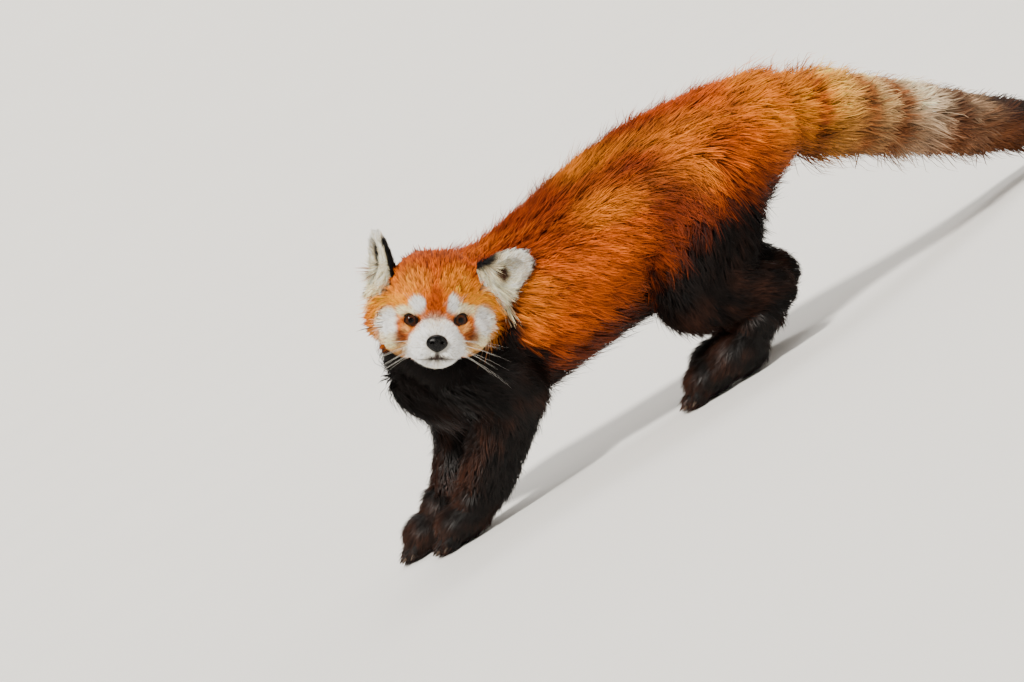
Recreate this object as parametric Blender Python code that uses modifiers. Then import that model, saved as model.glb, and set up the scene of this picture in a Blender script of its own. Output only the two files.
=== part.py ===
"""A life-size red panda walking down a slope, with its head turned to its left, as one still model.

The tables are in millimetres in a stance frame: x points forwards, y to the animal's left and z up
from the floor. The last step moves the model so that the origin is under the middle of its box.
The body is modelled whole, with a core that lies inside its coat and flat tapered locks that lie
along it out to the outline of the coat, and is then parted into named nodes.
"""

import functools
import math
import random

import bmesh
import bpy
from mathutils import Matrix, Vector

MM = 0.001
GAP = 0.3
UP = Vector((0, 0, 1))
LEFT = Vector((0, 1, 0))

# Driving sizes
SEED = 11
EYE_RADIUS = 8.0
EYE_SPACING = 43.0
HEAD_AT = Vector((-98, 100, 194))
HEAD_TURN = (
    Matrix.Rotation(math.radians(95.2), 3, "Z")
    @ Matrix.Rotation(math.radians(-3), 3, "Y")
    @ Matrix.Rotation(math.radians(-31), 3, "X")
)

# Stations of a tube, out to the outline of the coat: x, y, z, half width, half height
TORSO = (
    (-36, 0, 134, 18, 22),
    (-46, 0, 138, 34, 42),
    (-66, 0, 142, 48, 58),
    (-100, 0, 147, 60, 69),
    (-140, 0, 152, 67, 74),
    (-184, 0, 157, 72, 75),
    (-230, 0, 163, 76, 78),
    (-276, 0, 169, 78, 80),
    (-322, 0, 175, 77, 79),
    (-368, 0, 181, 71, 71),
    (-405, 0, 188, 59, 58),
    (-437, 0, 194, 45, 43),
    (-455, 0, 197, 34, 34),
)
NECK = (
    (-134, -6, 174, 58, 58),
    (-108, 6, 178, 60, 60),
    (-94, 26, 182, 58, 58),
    (-94, 46, 184, 50, 50),
)
TAIL = (
    (-425, 0, 190, 42, 42),
    (-468, -12, 178, 44, 44),
    (-512, -38, 156, 41, 41),
    (-552, -76, 128, 37, 36),
    (-590, -120, 99, 32, 31),
    (-626, -166, 71, 28, 27),
    (-660, -208, 47, 25, 25),
    (-682, -234, 34, 14, 15),
)

# Limbs, joint by joint: x, y, z, half size fore and aft, half size sideways
LIMBS = {
    "upper_arm_left": ((-80, 42, 172, 34, 27), (-100, 49, 134, 36, 27), (-120, 53, 100, 34, 26)),
    "forearm_left": ((-120, 53, 100, 34, 26), (-92, 48, 70, 31, 24), (-60, 43, 42, 28, 23)),
    "upper_arm_right": ((-80, -42, 172, 34, 27), (-70, -49, 134, 36, 27), (-66, -53, 100, 33, 26)),
    "forearm_right": ((-66, -53, 100, 33, 26), (-50, -48, 70, 30, 24), (-26, -42, 42, 27, 23)),
    "thigh_left": ((-366, 40, 172, 54, 34), (-336, 50, 130, 57, 34), (-310, 57, 96, 42, 29)),
    "shank_left": ((-310, 57, 96, 42, 29), (-342, 55, 76, 37, 27), (-368, 51, 58, 26, 23)),
    "thigh_right": ((-366, -40, 172, 54, 34), (-340, -50, 130, 57, 34), (-320, -57, 96, 42, 29)),
    "shank_right": ((-320, -57, 96, 42, 29), (-352, -55, 76, 37, 27), (-380, -51, 58, 26, 23)),
}
# How much of the outline's half sizes the core under the locks keeps
CORE = {"torso": 0.9, "neck": 0.92, "tail": 0.66, "thigh": 0.88, "upper": 0.9}

# A lock from its root to its tip: place along it, share of its half width, share of its thickness
LOCK_RINGS = ((0, 1.0, 1.0), (0.4, 0.9, 0.9), (0.75, 0.5, 0.6))
# Shares of its length that a lock is tried at, until its tip lies within its own node
LOCK_LENGTHS = (1.0, 0.8, 0.62, 0.45)
ROOT_SUNK = 5.0
# How far through the coat the middle of a lock rises, and how unevenly the locks lie: share of a
# step round or along the tube, sideways sway in radians, shares of the length
MIDDLE_RISE = 0.7
UNEVEN = 0.12
SWAY = 0.12
LENGTH_RANGE = (0.88, 1.05)
# How much further than the gap the room round a lock reaches: past its tip, edges and ridge
ROOM_AT_TIP = 8
ROOM_AT_EDGE = 5
ROOM_AT_RIDGE = 2
# Locks lie in rings along a tube. First ring and spacing, locks to a ring, first turn and the turn
# that they spread over in degrees, then the length, half width and thickness of a lock
TORSO_LOCKS = (30, 52, 10, 0, 360, 88, 14, 4)
TAIL_LOCKS = (30, 34, 7, 0, 360, 78, 12, 4)
THIGH_LOCKS = (24, 30, 4, 30, 150, 60, 11, 3.5)
ARM_LOCKS = (24, 30, 3, 30, 120, 50, 11, 3.5)

# Where the body is parted. Tail: a point of the cut, and the way that the tail leaves it.
TAIL_CUT_AT = Vector((-452, -6, 186))
TAIL_CUT_ALONG = Vector((-0.93, -0.25, -0.27)).normalized()
TAIL_BLOCK = (500, 600, 600)
NECK_BALL_AT = (-99, 44, 188)
NECK_BALL = 66
# Each part of a limb lies within a hull round circles in the side view, x, z and radius, and
# outside a plane that far from the middle of the body
FOREARM_REGION = ((-170, 76, 10), (60, 76, 10), (60, -20, 10), (-170, -20, 10)), 4
SHANK_REGION = ((-236, 68, 10), (-460, 94, 10), (-460, -20, 10), (-236, -20, 10)), 6
LIMB_REGIONS = {
    "forearm_left": FOREARM_REGION,
    "upper_arm_left": (((-88, 150, 50), (-118, 104, 44), (-30, 130, 20)), 18),
    "forearm_right": FOREARM_REGION,
    "upper_arm_right": (((-88, 150, 50), (-80, 104, 46), (-14, 130, 20)), 18),
    "shank_left": SHANK_REGION,
    "thigh_left": (((-362, 178, 42), (-310, 104, 46), (-436, 112, 4), (-300, 60, 4)), 22),
    "shank_right": SHANK_REGION,
    "thigh_right": (((-362, 178, 42), (-316, 104, 46), (-440, 112, 4), (-306, 60, 4)), 22),
}
LIMB_REACH = 120

# Balls of the paws from a point on the floor: x, y, z, then half sizes along x, y and z
FOREPAW = (
    ((2, 0, 19), (31, 26, 21)),
    ((-20, 3, 31), (25, 23, 22)),
)
HINDFOOT = (
    ((2, 0, 19), (30, 27, 20)),
    ((-30, 0, 24), (32, 26, 25)),
    ((-60, 0, 42), (28, 22, 21)),
    ((-76, 0, 52), (22, 21, 20)),
)
PAWS = {
    "forepaw_left": (FOREPAW, Vector((-24, 38, 0)), 1),
    "forepaw_right": (FOREPAW, Vector((14, -38, 0)), -1),
    "hindfoot_left": (HINDFOOT, Vector((-286, 50, 0)), 1),
    "hindfoot_right": (HINDFOOT, Vector((-298, -50, 0)), -1),
}
TOE_REACH = 31.0
TOE_FAN = math.radians(17)
TOE_DROP = 1.6
TOE_HEIGHT = 8.0
TOE_SIZE = (11.5, 6.6, 9.5)
CLAW_HEIGHT = 7.0
CLAW_LENGTH = 9.0
CLAW_SUNK = 3.0
CLAW_RADIUS = 1.9
CLAW_DROP = 0.35
CLAW_TAPER = 0.8

# The head, in its own frame: x to the nose, y to its left, z up, from midway between the eyes
SKULL = (
    ((-32, 0, 14), (50, 55, 50)),
    ((-52, 0, 6), (34, 44, 40)),
    ((-26, 28, -1), (28, 29, 27)),
    ((-26, -28, -1), (28, 29, 27)),
    ((-8, 24, -12), (24, 24, 22)),
    ((-8, -24, -12), (24, 24, 22)),
)
# Stations of the muzzle: x, y, z, half height, half width
MUZZLE = (
    (-14, 0, -14, 31, 30),
    (5, 0, -19, 24, 27),
    (17, 0, -22, 20.5, 25),
    (28, 0, -24.5, 18.5, 22),
    (36, 0, -25, 15.5, 17.5),
    (41.5, 0, -24.5, 9, 10),
)
MOUTH = ((11, 26, -30), (19, 24, -33), (28, 19, -34), (35, 10, -33), (39, 0, -32))
MOUTH_RADIUS = 1.3
NOSE_AT = Vector((40, 0, -20))
NOSE_SIZE = (6.5, 9.8, 7.8)
NOSTRIL_AT = Vector((45.9, 4.4, -19.5))
NOSTRIL_SIZE = (3.0, 1.9, 1.6)
EYE_AT = Vector((6.5, EYE_SPACING / 2, 0))
EYE_OUTWARD = math.radians(16)
LID_RADIUS = 7.6
LID_THICKNESS = 2.3
LID_FORWARD = Vector((4.6, 0, 0))
LID_FLATTENED = Vector((1, 1, 0.86))

# Roots of the locks of the left cheek, in the head's frame, and how a lock leads from its root to
# its tip, and the size of a lock: half width, thickness
CHEEK_ROOTS = (
    (-14, 50, 20),
    (-12, 50, 2),
    (-10, 44, -14),
    (-6, 34, -27),
    (-30, 54, 26),
    (-30, 56, 8),
    (-28, 52, -10),
    (-26, 40, -24),
)
CHEEK_LEAD = Vector((-28, 16, -9))
CHEEK_MIDDLE = 0.45
CHEEK_RISE = 2.0
CHEEK_LOCK = (7, 3.5)
# Along an ear: where the locks of its edges stand, how far from its middle line, how they lead
# across and along it, how far they bow, and their length, half width and thickness
EAR_LOCK_PLACES = (0.3, 0.55, 0.8)
EAR_LOCK_ASIDE = 9.0
EAR_LOCK_LEAD = (0.5, 0.9)
EAR_LOCK_BOW = 2.0
EAR_LOCK = (15, 4, 2.4)

# Each ear: its foot, its tip, the way its cup faces
EARS = {
    "ear_left": (Vector((-26, 42, 30)), Vector((-18, 86, 56)), Vector((1, 0.1, -0.25))),
    "ear_right": (Vector((-26, -44, 32)), Vector((-26, -53, 80)), Vector((0.35, -1, 0.1))),
}
# Along an ear, from 0 at its foot to 1: half thickness, half width
EAR_SHAPE = ((0, 13, 21), (0.3, 12, 21), (0.6, 10, 19), (0.85, 7, 14), (1, 4, 7))
# The hollow of an ear: place along it, distance in front of its middle line, half sizes
EAR_CUP_ALONG = 0.55
EAR_CUP_FORWARD = 10.0
EAR_CUP = (10, 13, 16)

# About how many triangles each fused skin keeps
TRIANGLES = {"torso": 1800, "head": 1250, "ear": 220, "forepaw": 260, "hindfoot": 280}

COLOURS = {
    "rust": (0.50, 0.13, 0.02),
    "black_brown": (0.025, 0.014, 0.01),
    "face": (0.72, 0.42, 0.2),
    "cream": (0.8, 0.7, 0.52),
    "tail": (0.55, 0.25, 0.08),
    "nose": (0.01, 0.009, 0.009),
    "eye": (0.03, 0.015, 0.01),
}


def clear_scene():
    for obj in list(bpy.data.objects):
        bpy.data.objects.remove(obj, do_unlink=True)


def mesh_object(name, verts, faces):
    mesh = bpy.data.meshes.new(name)
    mesh.from_pydata([Vector(v) * MM for v in verts], [], faces)
    obj = bpy.data.objects.new(name, mesh)
    bpy.context.scene.collection.objects.link(obj)
    return obj


def smooth_stations(stations, steps):
    """Catmull-Rom stations through the given ones, steps to each span."""
    rows = [Vector(s) for s in stations]
    rows = [rows[0] * 2 - rows[1]] + rows + [rows[-1] * 2 - rows[-2]]
    found = []
    for a, b, c, d in zip(rows, rows[1:], rows[2:], rows[3:]):
        for k in range(steps):
            t = k / steps
            line = b * 2 + (c - a) * t
            bend = (a * 2 - b * 5 + c * 4 - d) * t**2 + (b * 3 - a - c * 3 + d) * t**3
            found.append((line + bend) / 2)
    return found + [rows[-2]]


def loft(name, stations, reference, sides=20, steps=4):
    """A closed tube through elliptical sections, whose last half size lies along the reference axis."""
    rows = smooth_stations(stations, steps)
    centres = [Vector(r[:3]) for r in rows]
    verts = []
    for i, row in enumerate(rows):
        along = (centres[min(i + 1, len(rows) - 1)] - centres[max(i - 1, 0)]).normalized()
        b = (reference - along * reference.dot(along)).normalized()
        a = along.cross(b)
        for k in range(sides):
            turn = 2 * math.pi * k / sides
            rim = a * row[3] * math.cos(turn) + b * row[4] * math.sin(turn)
            verts.append(centres[i] + rim)
    faces = [tuple(range(sides))]
    for i in range(len(rows) - 1):
        for k in range(sides):
            n = (k + 1) % sides
            faces.append((i * sides + k, (i + 1) * sides + k, (i + 1) * sides + n, i * sides + n))
    faces.append(tuple((len(rows) - 1) * sides + k for k in range(sides))[::-1])
    return mesh_object(name, verts, faces)


def place_on(stations, reference, far, turn, share):
    """The point that far along a tube and at that turn round it, with its half sizes times a share."""
    rows = smooth_stations(stations, 4)
    centres = [Vector(r[:3]) for r in rows]
    i = 0
    while i < len(rows) - 2 and far > (centres[i + 1] - centres[i]).length:
        far -= (centres[i + 1] - centres[i]).length
        i += 1
    t = far / (centres[i + 1] - centres[i]).length
    along = (centres[i + 1] - centres[i]).normalized()
    b = (reference - along * reference.dot(along)).normalized()
    a = along.cross(b)
    wide = (rows[i][3] * (1 - t) + rows[i + 1][3] * t) * share
    high = (rows[i][4] * (1 - t) + rows[i + 1][4] * t) * share
    rim = a * wide * math.cos(turn) + b * high * math.sin(turn)
    return centres[i].lerp(centres[i + 1], t) + rim, rim.normalized()


def lock(root, middle, tip, out, half_width, thickness, grow=0):
    """A flat tapered lock from its root to its tip, bent towards its middle point, ridged outside."""
    tip = tip + (tip - middle).normalized() * ROOM_AT_TIP * grow
    verts = []
    for t, wide, thick in LOCK_RINGS:
        at = root * (1 - t) ** 2 + middle * 2 * t * (1 - t) + tip * t**2
        along = ((middle - root) * (1 - t) + (tip - middle) * t).normalized()
        across = along.cross(out).normalized()
        above = across.cross(along)
        edge = across * (half_width * wide + ROOM_AT_EDGE * grow)
        ridge = above * (thickness * thick + ROOM_AT_RIDGE * grow)
        verts += [at + edge - above * grow, at + ridge, at - edge - above * grow]
    verts.append(tip)
    faces = [(0, 1, 2)]
    for i in range(0, 3 * len(LOCK_RINGS) - 3, 3):
        for k in range(3):
            n = (k + 1) % 3
            faces.append((i + k, i + 3 + k, i + 3 + n, i + n))
    last = 3 * len(LOCK_RINGS) - 3
    faces += [(last + k, last + 3, last + (k + 1) % 3) for k in range(3)]
    return mesh_object("lock", verts, faces)


def coat(body, name, stations, reference, layout, chance):
    """Rings of locks along a tube of the body, each rooted in the core, with its tip at the outline."""
    core = CORE[name.split("_")[0]]
    first, spacing, count, start, spread, length, half_width, thickness = layout
    centres = [Vector(s[:3]) for s in stations]
    reach = sum((b - a).length for a, b in zip(centres, centres[1:]))
    deepest = (1 - core) * max(s[3] for s in stations)
    far = first
    ring = 0
    while far + LOCK_LENGTHS[-1] * length < reach:
        for k in range(count):
            step = k + 0.5 * (ring % 2) + chance.uniform(-UNEVEN, UNEVEN)
            turn = math.radians(start + spread * step / count)
            near = far + chance.uniform(-UNEVEN, UNEVEN) * spacing
            sway = chance.uniform(-SWAY, SWAY)
            long = length * chance.uniform(*LENGTH_RANGE)
            root, up = on_body(body, stations, reference, core, near, turn)
            out = up.normalized()
            for share in LOCK_LENGTHS:
                half = long * share / 2
                middle, low = on_body(body, stations, reference, core, near + half, turn + sway * share)
                tip, high = on_body(body, stations, reference, core, near + 2 * half, turn)
                if near + 2 * half < reach and node_at(root) == name == node_at(tip):
                    middle += low * MIDDLE_RISE
                    width = half_width * up.length / deepest
                    yield lock(root - out * ROOT_SUNK, middle, tip + high, out, width, thickness)
                    break
        far += spacing
        ring += 1


def on_body(body, stations, reference, core, far, turn):
    """The surface point nearest to a place on a tube, and the depth of the coat along its normal."""
    inner, _ = place_on(stations, reference, far, turn, core)
    outer, _ = place_on(stations, reference, far, turn, 1)
    _, at, normal, _ = body.closest_point_on_mesh(inner * MM)
    return at / MM, normal * (outer - inner).length


def within_limb(name, point):
    """Whether a point lies in the prism of a part of a limb."""
    circles, inside = LIMB_REGIONS[name]
    side = -1 if name.endswith("right") else 1
    if side * point.y < inside:
        return False
    for k in range(36):
        x, z = math.cos(math.pi * k / 18), math.sin(math.pi * k / 18)
        if point.x * x + point.z * z > max(cx * x + cz * z + r for cx, cz, r in circles):
            return False
    return True


def node_at(point):
    """The node that a point of the body is parted into."""
    if (point - Vector(NECK_BALL_AT)).length < NECK_BALL:
        return "neck"
    for name in LIMB_REGIONS:
        if within_limb(name, point):
            return name
    return "tail" if (point - TAIL_CUT_AT).dot(TAIL_CUT_ALONG) > 0 else "torso"


def thinner(stations, share):
    """The stations with their half sizes times a share."""
    return [(x, y, z, a * share, b * share) for x, y, z, a, b in stations]


def ellipsoid(name, centre, radii, turn=Matrix.Identity(3), segments=24):
    bpy.ops.mesh.primitive_uv_sphere_add(segments=segments, ring_count=segments // 2, radius=1)
    obj = bpy.context.active_object
    obj.name = name
    obj.data.transform((turn @ Matrix.Diagonal(Vector(radii) * MM)).to_4x4())
    obj.data.transform(Matrix.Translation(Vector(centre) * MM))
    return obj


def baked(obj):
    """Turns the modifiers of an object into its mesh."""
    graph = bpy.context.evaluated_depsgraph_get()
    mesh = bpy.data.meshes.new_from_object(obj.evaluated_get(graph))
    obj.modifiers.clear()
    obj.data = mesh
    return obj


def joined(name, pieces):
    built = bmesh.new()
    for piece in pieces:
        built.from_mesh(piece.data)
        bpy.data.objects.remove(piece)
    mesh = bpy.data.meshes.new(name)
    built.to_mesh(mesh)
    built.free()
    obj = bpy.data.objects.new(name, mesh)
    bpy.context.scene.collection.objects.link(obj)
    return obj


def fused(name, pieces, voxel, rounds, triangles):
    """One smooth closed skin round overlapping pieces, with about that many triangles."""
    obj = joined(name, pieces)
    remesh = obj.modifiers.new("fuse", "REMESH")
    remesh.mode = "VOXEL"
    remesh.voxel_size = voxel * MM
    smooth = obj.modifiers.new("soften", "SMOOTH")
    smooth.factor = 0.5
    smooth.iterations = rounds
    baked(obj)
    count = 2 * len(obj.data.polygons)
    thin = obj.modifiers.new("thin", "DECIMATE")
    thin.ratio = min(1.0, triangles / count)
    thin.use_collapse_triangulate = True
    return baked(obj)


def copied(obj, name):
    twin = obj.copy()
    twin.data = obj.data.copy()
    twin.name = name
    bpy.context.scene.collection.objects.link(twin)
    return twin


def swollen(obj, by=GAP):
    """A copy whose surface stands that far outside."""
    twin = copied(obj, obj.name + "_swollen")
    displace = twin.modifiers.new("swell", "DISPLACE")
    displace.mid_level = 0
    displace.strength = by * MM
    return baked(twin)


def combined(obj, operation, others):
    """One Boolean with all the others at once, applied. The others are then removed."""
    tools = bpy.data.collections.new("tools")
    for other in others:
        tools.objects.link(other)
    boolean = obj.modifiers.new("join", "BOOLEAN")
    boolean.operation = operation
    boolean.operand_type = "COLLECTION"
    boolean.collection = tools
    boolean.solver = "MANIFOLD"
    baked(obj)
    for other in others:
        bpy.data.objects.remove(other)
    bpy.data.collections.remove(tools)
    return obj


def crossed(obj, other):
    """What the object and the other share."""
    boolean = obj.modifiers.new("share", "BOOLEAN")
    boolean.operation = "INTERSECT"
    boolean.object = other
    boolean.solver = "MANIFOLD"
    return baked(obj)


def largest_surface(obj):
    """Keeps only the largest closed surface."""
    built = bmesh.new()
    built.from_mesh(obj.data)
    bmesh.ops.triangulate(built, faces=built.faces)
    left = set(built.faces)
    shells = []
    while left:
        stack = [left.pop()]
        shell = set(stack)
        while stack:
            for edge in stack.pop().edges:
                for face in edge.link_faces:
                    if face in left:
                        left.discard(face)
                        shell.add(face)
                        stack.append(face)
        shells.append(shell)
    shells.sort(key=shell_volume)
    for shell in shells[:-1]:
        bmesh.ops.delete(built, geom=list(shell), context="FACES")
    built.to_mesh(obj.data)
    built.free()
    return obj


def shell_volume(shell):
    corners = [[v.co for v in face.verts] for face in shell]
    return sum(a.dot(b.cross(c)) for a, b, c in corners) / 6


def split_off(name, rest, region):
    """Parts what lies in a region from the rest, with a thin gap, as a node of that name."""
    inner = region(0)
    piece = crossed(copied(rest, name), inner)
    bpy.data.objects.remove(inner)
    combined(rest, "DIFFERENCE", [region(GAP)])
    return largest_surface(piece)


def level_cut(obj):
    """Cuts away what is below the floor and closes the cut with a flat sole."""
    built = bmesh.new()
    built.from_mesh(obj.data)
    geometry = built.verts[:] + built.edges[:] + built.faces[:]
    found = bmesh.ops.bisect_plane(built, geom=geometry, plane_co=(0, 0, 0), plane_no=UP, clear_inner=True)
    rim = [e for e in found["geom_cut"] if isinstance(e, bmesh.types.BMEdge)]
    bmesh.ops.edgeloop_fill(built, edges=rim)
    bmesh.ops.recalc_face_normals(built, faces=built.faces)
    bmesh.ops.triangulate(built, faces=built.faces)
    built.to_mesh(obj.data)
    built.free()
    return obj


def limb(stations):
    """The loft of one bone's stretch of a limb, with a ball at each end."""
    pieces = [loft("limb", stations, LEFT)]
    for x, y, z, depth, width in (stations[0], stations[-1]):
        pieces.append(ellipsoid("joint", (x, y, z), (depth, width, depth)))
    return pieces


def body():
    """The core of the whole body, with the locks of its coat."""
    chance = random.Random(SEED)
    pieces = []
    for name, stations in (("torso", TORSO), ("neck", NECK), ("tail", TAIL)):
        pieces.append(loft(name, thinner(stations, CORE[name]), UP))
    for name, stations in LIMBS.items():
        pieces += limb(thinner(stations, CORE.get(name.split("_")[0], 1)))
    body = fused("torso", pieces, 6, 5, TRIANGLES["torso"])
    locks = [*coat(body, "torso", TORSO, UP, TORSO_LOCKS, chance)]
    locks += coat(body, "tail", TAIL, UP, TAIL_LOCKS, chance)
    for name in ("thigh_left", "thigh_right", "upper_arm_left", "upper_arm_right"):
        layout = THIGH_LOCKS if name.startswith("thigh") else ARM_LOCKS
        start = -layout[3] - layout[4] if name.endswith("right") else layout[3]
        turned = (*layout[:3], start, *layout[4:])
        locks += coat(body, name, LIMBS[name], LEFT, turned, chance)
    return combined(body, "UNION", locks)


def block(name, size, at, turn):
    """A box whose near face is centred on a point, with its first side along the turn's x axis."""
    bpy.ops.mesh.primitive_cube_add(size=1)
    obj = bpy.context.active_object
    obj.name = name
    obj.data.transform(Matrix.Translation((0.5, 0, 0)))
    obj.data.transform((turn @ Matrix.Diagonal(Vector(size) * MM)).to_4x4())
    obj.data.transform(Matrix.Translation(Vector(at) * MM))
    return obj


def tail_region(grow):
    turn = TAIL_CUT_ALONG.to_track_quat("X", "Z").to_matrix()
    return block("tail_region", TAIL_BLOCK, TAIL_CUT_AT - TAIL_CUT_ALONG * grow, turn)


def neck_region(grow):
    return ellipsoid("neck_region", NECK_BALL_AT, [NECK_BALL + grow] * 3, segments=16)


def limb_region(name, grow):
    """A prism across the body, round that part of a limb."""
    circles, inside = LIMB_REGIONS[name]
    side = -1 if name.endswith("right") else 1
    built = bmesh.new()
    for x, z, radius in circles:
        for k in range(8):
            turn = math.pi * k / 4
            reach = radius + grow
            for y in (inside - grow, LIMB_REACH):
                corner = (x + reach * math.cos(turn), side * y, z + reach * math.sin(turn))
                built.verts.new(Vector(corner) * MM)
    hull = bmesh.ops.convex_hull(built, input=built.verts)
    loose = [v for v in hull["geom_interior"] if isinstance(v, bmesh.types.BMVert)]
    bmesh.ops.delete(built, geom=loose, context="VERTS")
    bmesh.ops.recalc_face_normals(built, faces=built.faces)
    mesh = bpy.data.meshes.new("limb_region")
    built.to_mesh(mesh)
    built.free()
    obj = bpy.data.objects.new("limb_region", mesh)
    bpy.context.scene.collection.objects.link(obj)
    return obj


def part_body(whole):
    """Parts the neck, the limbs and the tail from the body, and leaves the torso."""
    split_off("neck", whole, neck_region)
    for name in LIMB_REGIONS:
        split_off(name, whole, functools.partial(limb_region, name))
    split_off("tail", whole, tail_region)
    return largest_surface(whole)


def toe_places(centre):
    """Where each toe of a paw sits on its fan, with the fan's turn."""
    for k in range(-2, 3):
        turn = k * TOE_FAN
        reach = TOE_REACH - TOE_DROP * k * k
        yield centre + reach * Vector((math.cos(turn), math.sin(turn), 0)), turn


def claw(at, turn):
    """A short curved claw that points forwards and down."""
    stations = []
    for t in (0, 0.55, 1):
        radius = CLAW_RADIUS * (1 - CLAW_TAPER * t)
        drop = CLAW_DROP * CLAW_LENGTH * t * t
        stations.append((CLAW_LENGTH * t - CLAW_SUNK, 0, -drop, radius, radius))
    obj = loft("claw", stations, UP, sides=5, steps=1)
    obj.data.transform(Matrix.Rotation(turn, 4, "Z"))
    obj.data.transform(Matrix.Translation(at * MM))
    return obj


def paw(name):
    """A furred paw with five toes and claws, flat under its sole."""
    balls, centre, side = PAWS[name]
    pieces = []
    for (x, y, z), radii in balls:
        pieces.append(ellipsoid(name, centre + Vector((x, side * y, z)), radii))
    claws = []
    for at, turn in toe_places(centre):
        spin = Matrix.Rotation(turn, 3, "Z")
        pieces.append(ellipsoid("toe", at + UP * TOE_HEIGHT, TOE_SIZE, spin))
        tip = at + spin @ Vector((TOE_SIZE[0], 0, CLAW_HEIGHT))
        claws.append(claw(tip, turn))
    obj = fused(name, pieces, 2, 2, TRIANGLES[name.split("_")[0]])
    combined(obj, "UNION", claws)
    return level_cut(largest_surface(obj))


def lid(side):
    """A soft ring of lid round one eye."""
    look = Matrix.Rotation(side * EYE_OUTWARD, 3, "Z")
    bpy.ops.mesh.primitive_torus_add(
        major_radius=LID_RADIUS * MM,
        minor_radius=LID_THICKNESS * MM,
        major_segments=24,
        minor_segments=10,
    )
    ring = bpy.context.active_object
    stand = Matrix.Rotation(math.radians(90), 3, "Y")
    ring.data.transform((look @ Matrix.Diagonal(LID_FLATTENED) @ stand).to_4x4())
    at = Vector((EYE_AT.x, side * EYE_AT.y, EYE_AT.z)) + look @ LID_FORWARD
    ring.data.transform(Matrix.Translation(at * MM))
    return ring


def in_stance(obj):
    """Carries a piece from the head's frame to the stance frame."""
    obj.data.transform(HEAD_TURN.to_4x4())
    obj.data.transform(Matrix.Translation(HEAD_AT * MM))
    return obj


def ear(name):
    """A rounded flap with a hollow cup on the side that it faces."""
    foot, tip, facing = EARS[name]
    along = tip - foot
    facing = (facing - along * (facing.dot(along) / along.length_squared)).normalized()
    across = along.cross(facing).normalized()
    rows = [(*(foot + along * t), thick, wide) for t, thick, wide in EAR_SHAPE]
    flap = fused(name, [loft(name, rows, across)], 1.5, 3, TRIANGLES["ear"])
    turn = Matrix((facing, across, along.normalized())).transposed()
    middle = foot + along * EAR_CUP_ALONG + facing * EAR_CUP_FORWARD
    cup = ellipsoid("cup", middle, EAR_CUP, turn, 12)
    combined(flap, "DIFFERENCE", [cup])
    combined(flap, "UNION", ear_locks(foot, along, across, facing))
    return largest_surface(flap)


def ear_locks(foot, along, across, facing):
    """The locks along both edges of an ear."""
    length, half_width, thickness = EAR_LOCK
    sideways, upwards = EAR_LOCK_LEAD
    found = []
    for t in EAR_LOCK_PLACES:
        for side in (1, -1):
            edge = foot + along * t + across * side * EAR_LOCK_ASIDE
            tip = edge + (across * side * sideways + along.normalized() * upwards) * length
            middle = edge.lerp(tip, 0.5) + along.normalized() * EAR_LOCK_BOW
            found.append(lock(edge, middle, tip, -facing, half_width, thickness))
    return found


def mouth(muzzle):
    """A thin tube that follows the surface along the line of the mouth, from corner to corner."""
    half = [Vector(p) for p in MOUTH]
    points = half + [Vector((p.x, -p.y, p.z)) for p in half[-2::-1]]
    rows = []
    for point in points:
        _, at, _, _ = muzzle.closest_point_on_mesh(point * MM)
        rows.append((*(at / MM), MOUTH_RADIUS, MOUTH_RADIUS))
    return loft("mouth", rows, UP, sides=5, steps=2)


def cheek_locks(head, grow=0):
    """The locks of both cheeks, each rooted at the surface point nearest to its named root."""
    found = []
    for x, y, z in CHEEK_ROOTS:
        for side in (1, -1):
            _, at, normal, _ = head.closest_point_on_mesh(Vector((x, side * y, z)) * MM)
            root = at / MM
            lead = Vector((CHEEK_LEAD.x, side * CHEEK_LEAD.y, CHEEK_LEAD.z))
            middle = root + lead * CHEEK_MIDDLE + normal * CHEEK_RISE
            sunk = root - normal * ROOT_SUNK
            found.append(lock(sunk, middle, root + lead, normal, *CHEEK_LOCK, grow))
    return found


def mirror_pair(name, at, radii, segments=10):
    return [ellipsoid(name, (at.x, side * at.y, at.z), radii, segments=segments) for side in (1, -1)]


def head_nodes():
    """Makes the nodes of the head, in the stance frame, and returns the shapes that make room for them."""
    pieces = [ellipsoid("skull", centre, radii) for centre, radii in SKULL]
    pieces.append(loft("muzzle", MUZZLE, LEFT, sides=24))
    pieces += [lid(1), lid(-1)]
    head = fused("head", pieces, 2, 4, TRIANGLES["head"])
    nose = ellipsoid("nose", NOSE_AT, NOSE_SIZE, segments=12)
    combined(nose, "DIFFERENCE", mirror_pair("nostril", NOSTRIL_AT, NOSTRIL_SIZE))
    ears = [ear(name) for name in EARS]
    sockets = mirror_pair("socket", EYE_AT, [EYE_RADIUS + GAP] * 3, 12)
    room = [swollen(head), *cheek_locks(head, GAP)]
    combined(head, "UNION", cheek_locks(head))
    combined(head, "DIFFERENCE", [mouth(head)])
    combined(head, "DIFFERENCE", [*map(swollen, ears), swollen(nose), *sockets])
    largest_surface(head)
    eyes = mirror_pair("eye", EYE_AT, [EYE_RADIUS] * 3, 12)
    for eye, name in zip(eyes, ("eye_left", "eye_right")):
        eye.name = name
    for obj in (head, nose, *ears, *eyes, *room):
        in_stance(obj)
    return [*room, *map(swollen, ears)]


def eye_place():
    """The middle of the left eye in the stance frame."""
    return (HEAD_AT + HEAD_TURN @ EYE_AT) * MM


def material(name, colour, roughness=0.85):
    found = bpy.data.materials.new(name)
    found.use_nodes = True
    shader = found.node_tree.nodes["Principled BSDF"]
    shader.inputs["Base Color"].default_value = (*colour, 1)
    shader.inputs["Roughness"].default_value = roughness
    shader.inputs["Metallic"].default_value = 0
    return found


def colour_of(name):
    kinds = {"head": "face", "ear": "cream", "nose": "nose", "eye": "eye", "tail": "tail", "torso": "rust"}
    return kinds.get(name.split("_")[0], "black_brown")


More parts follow.
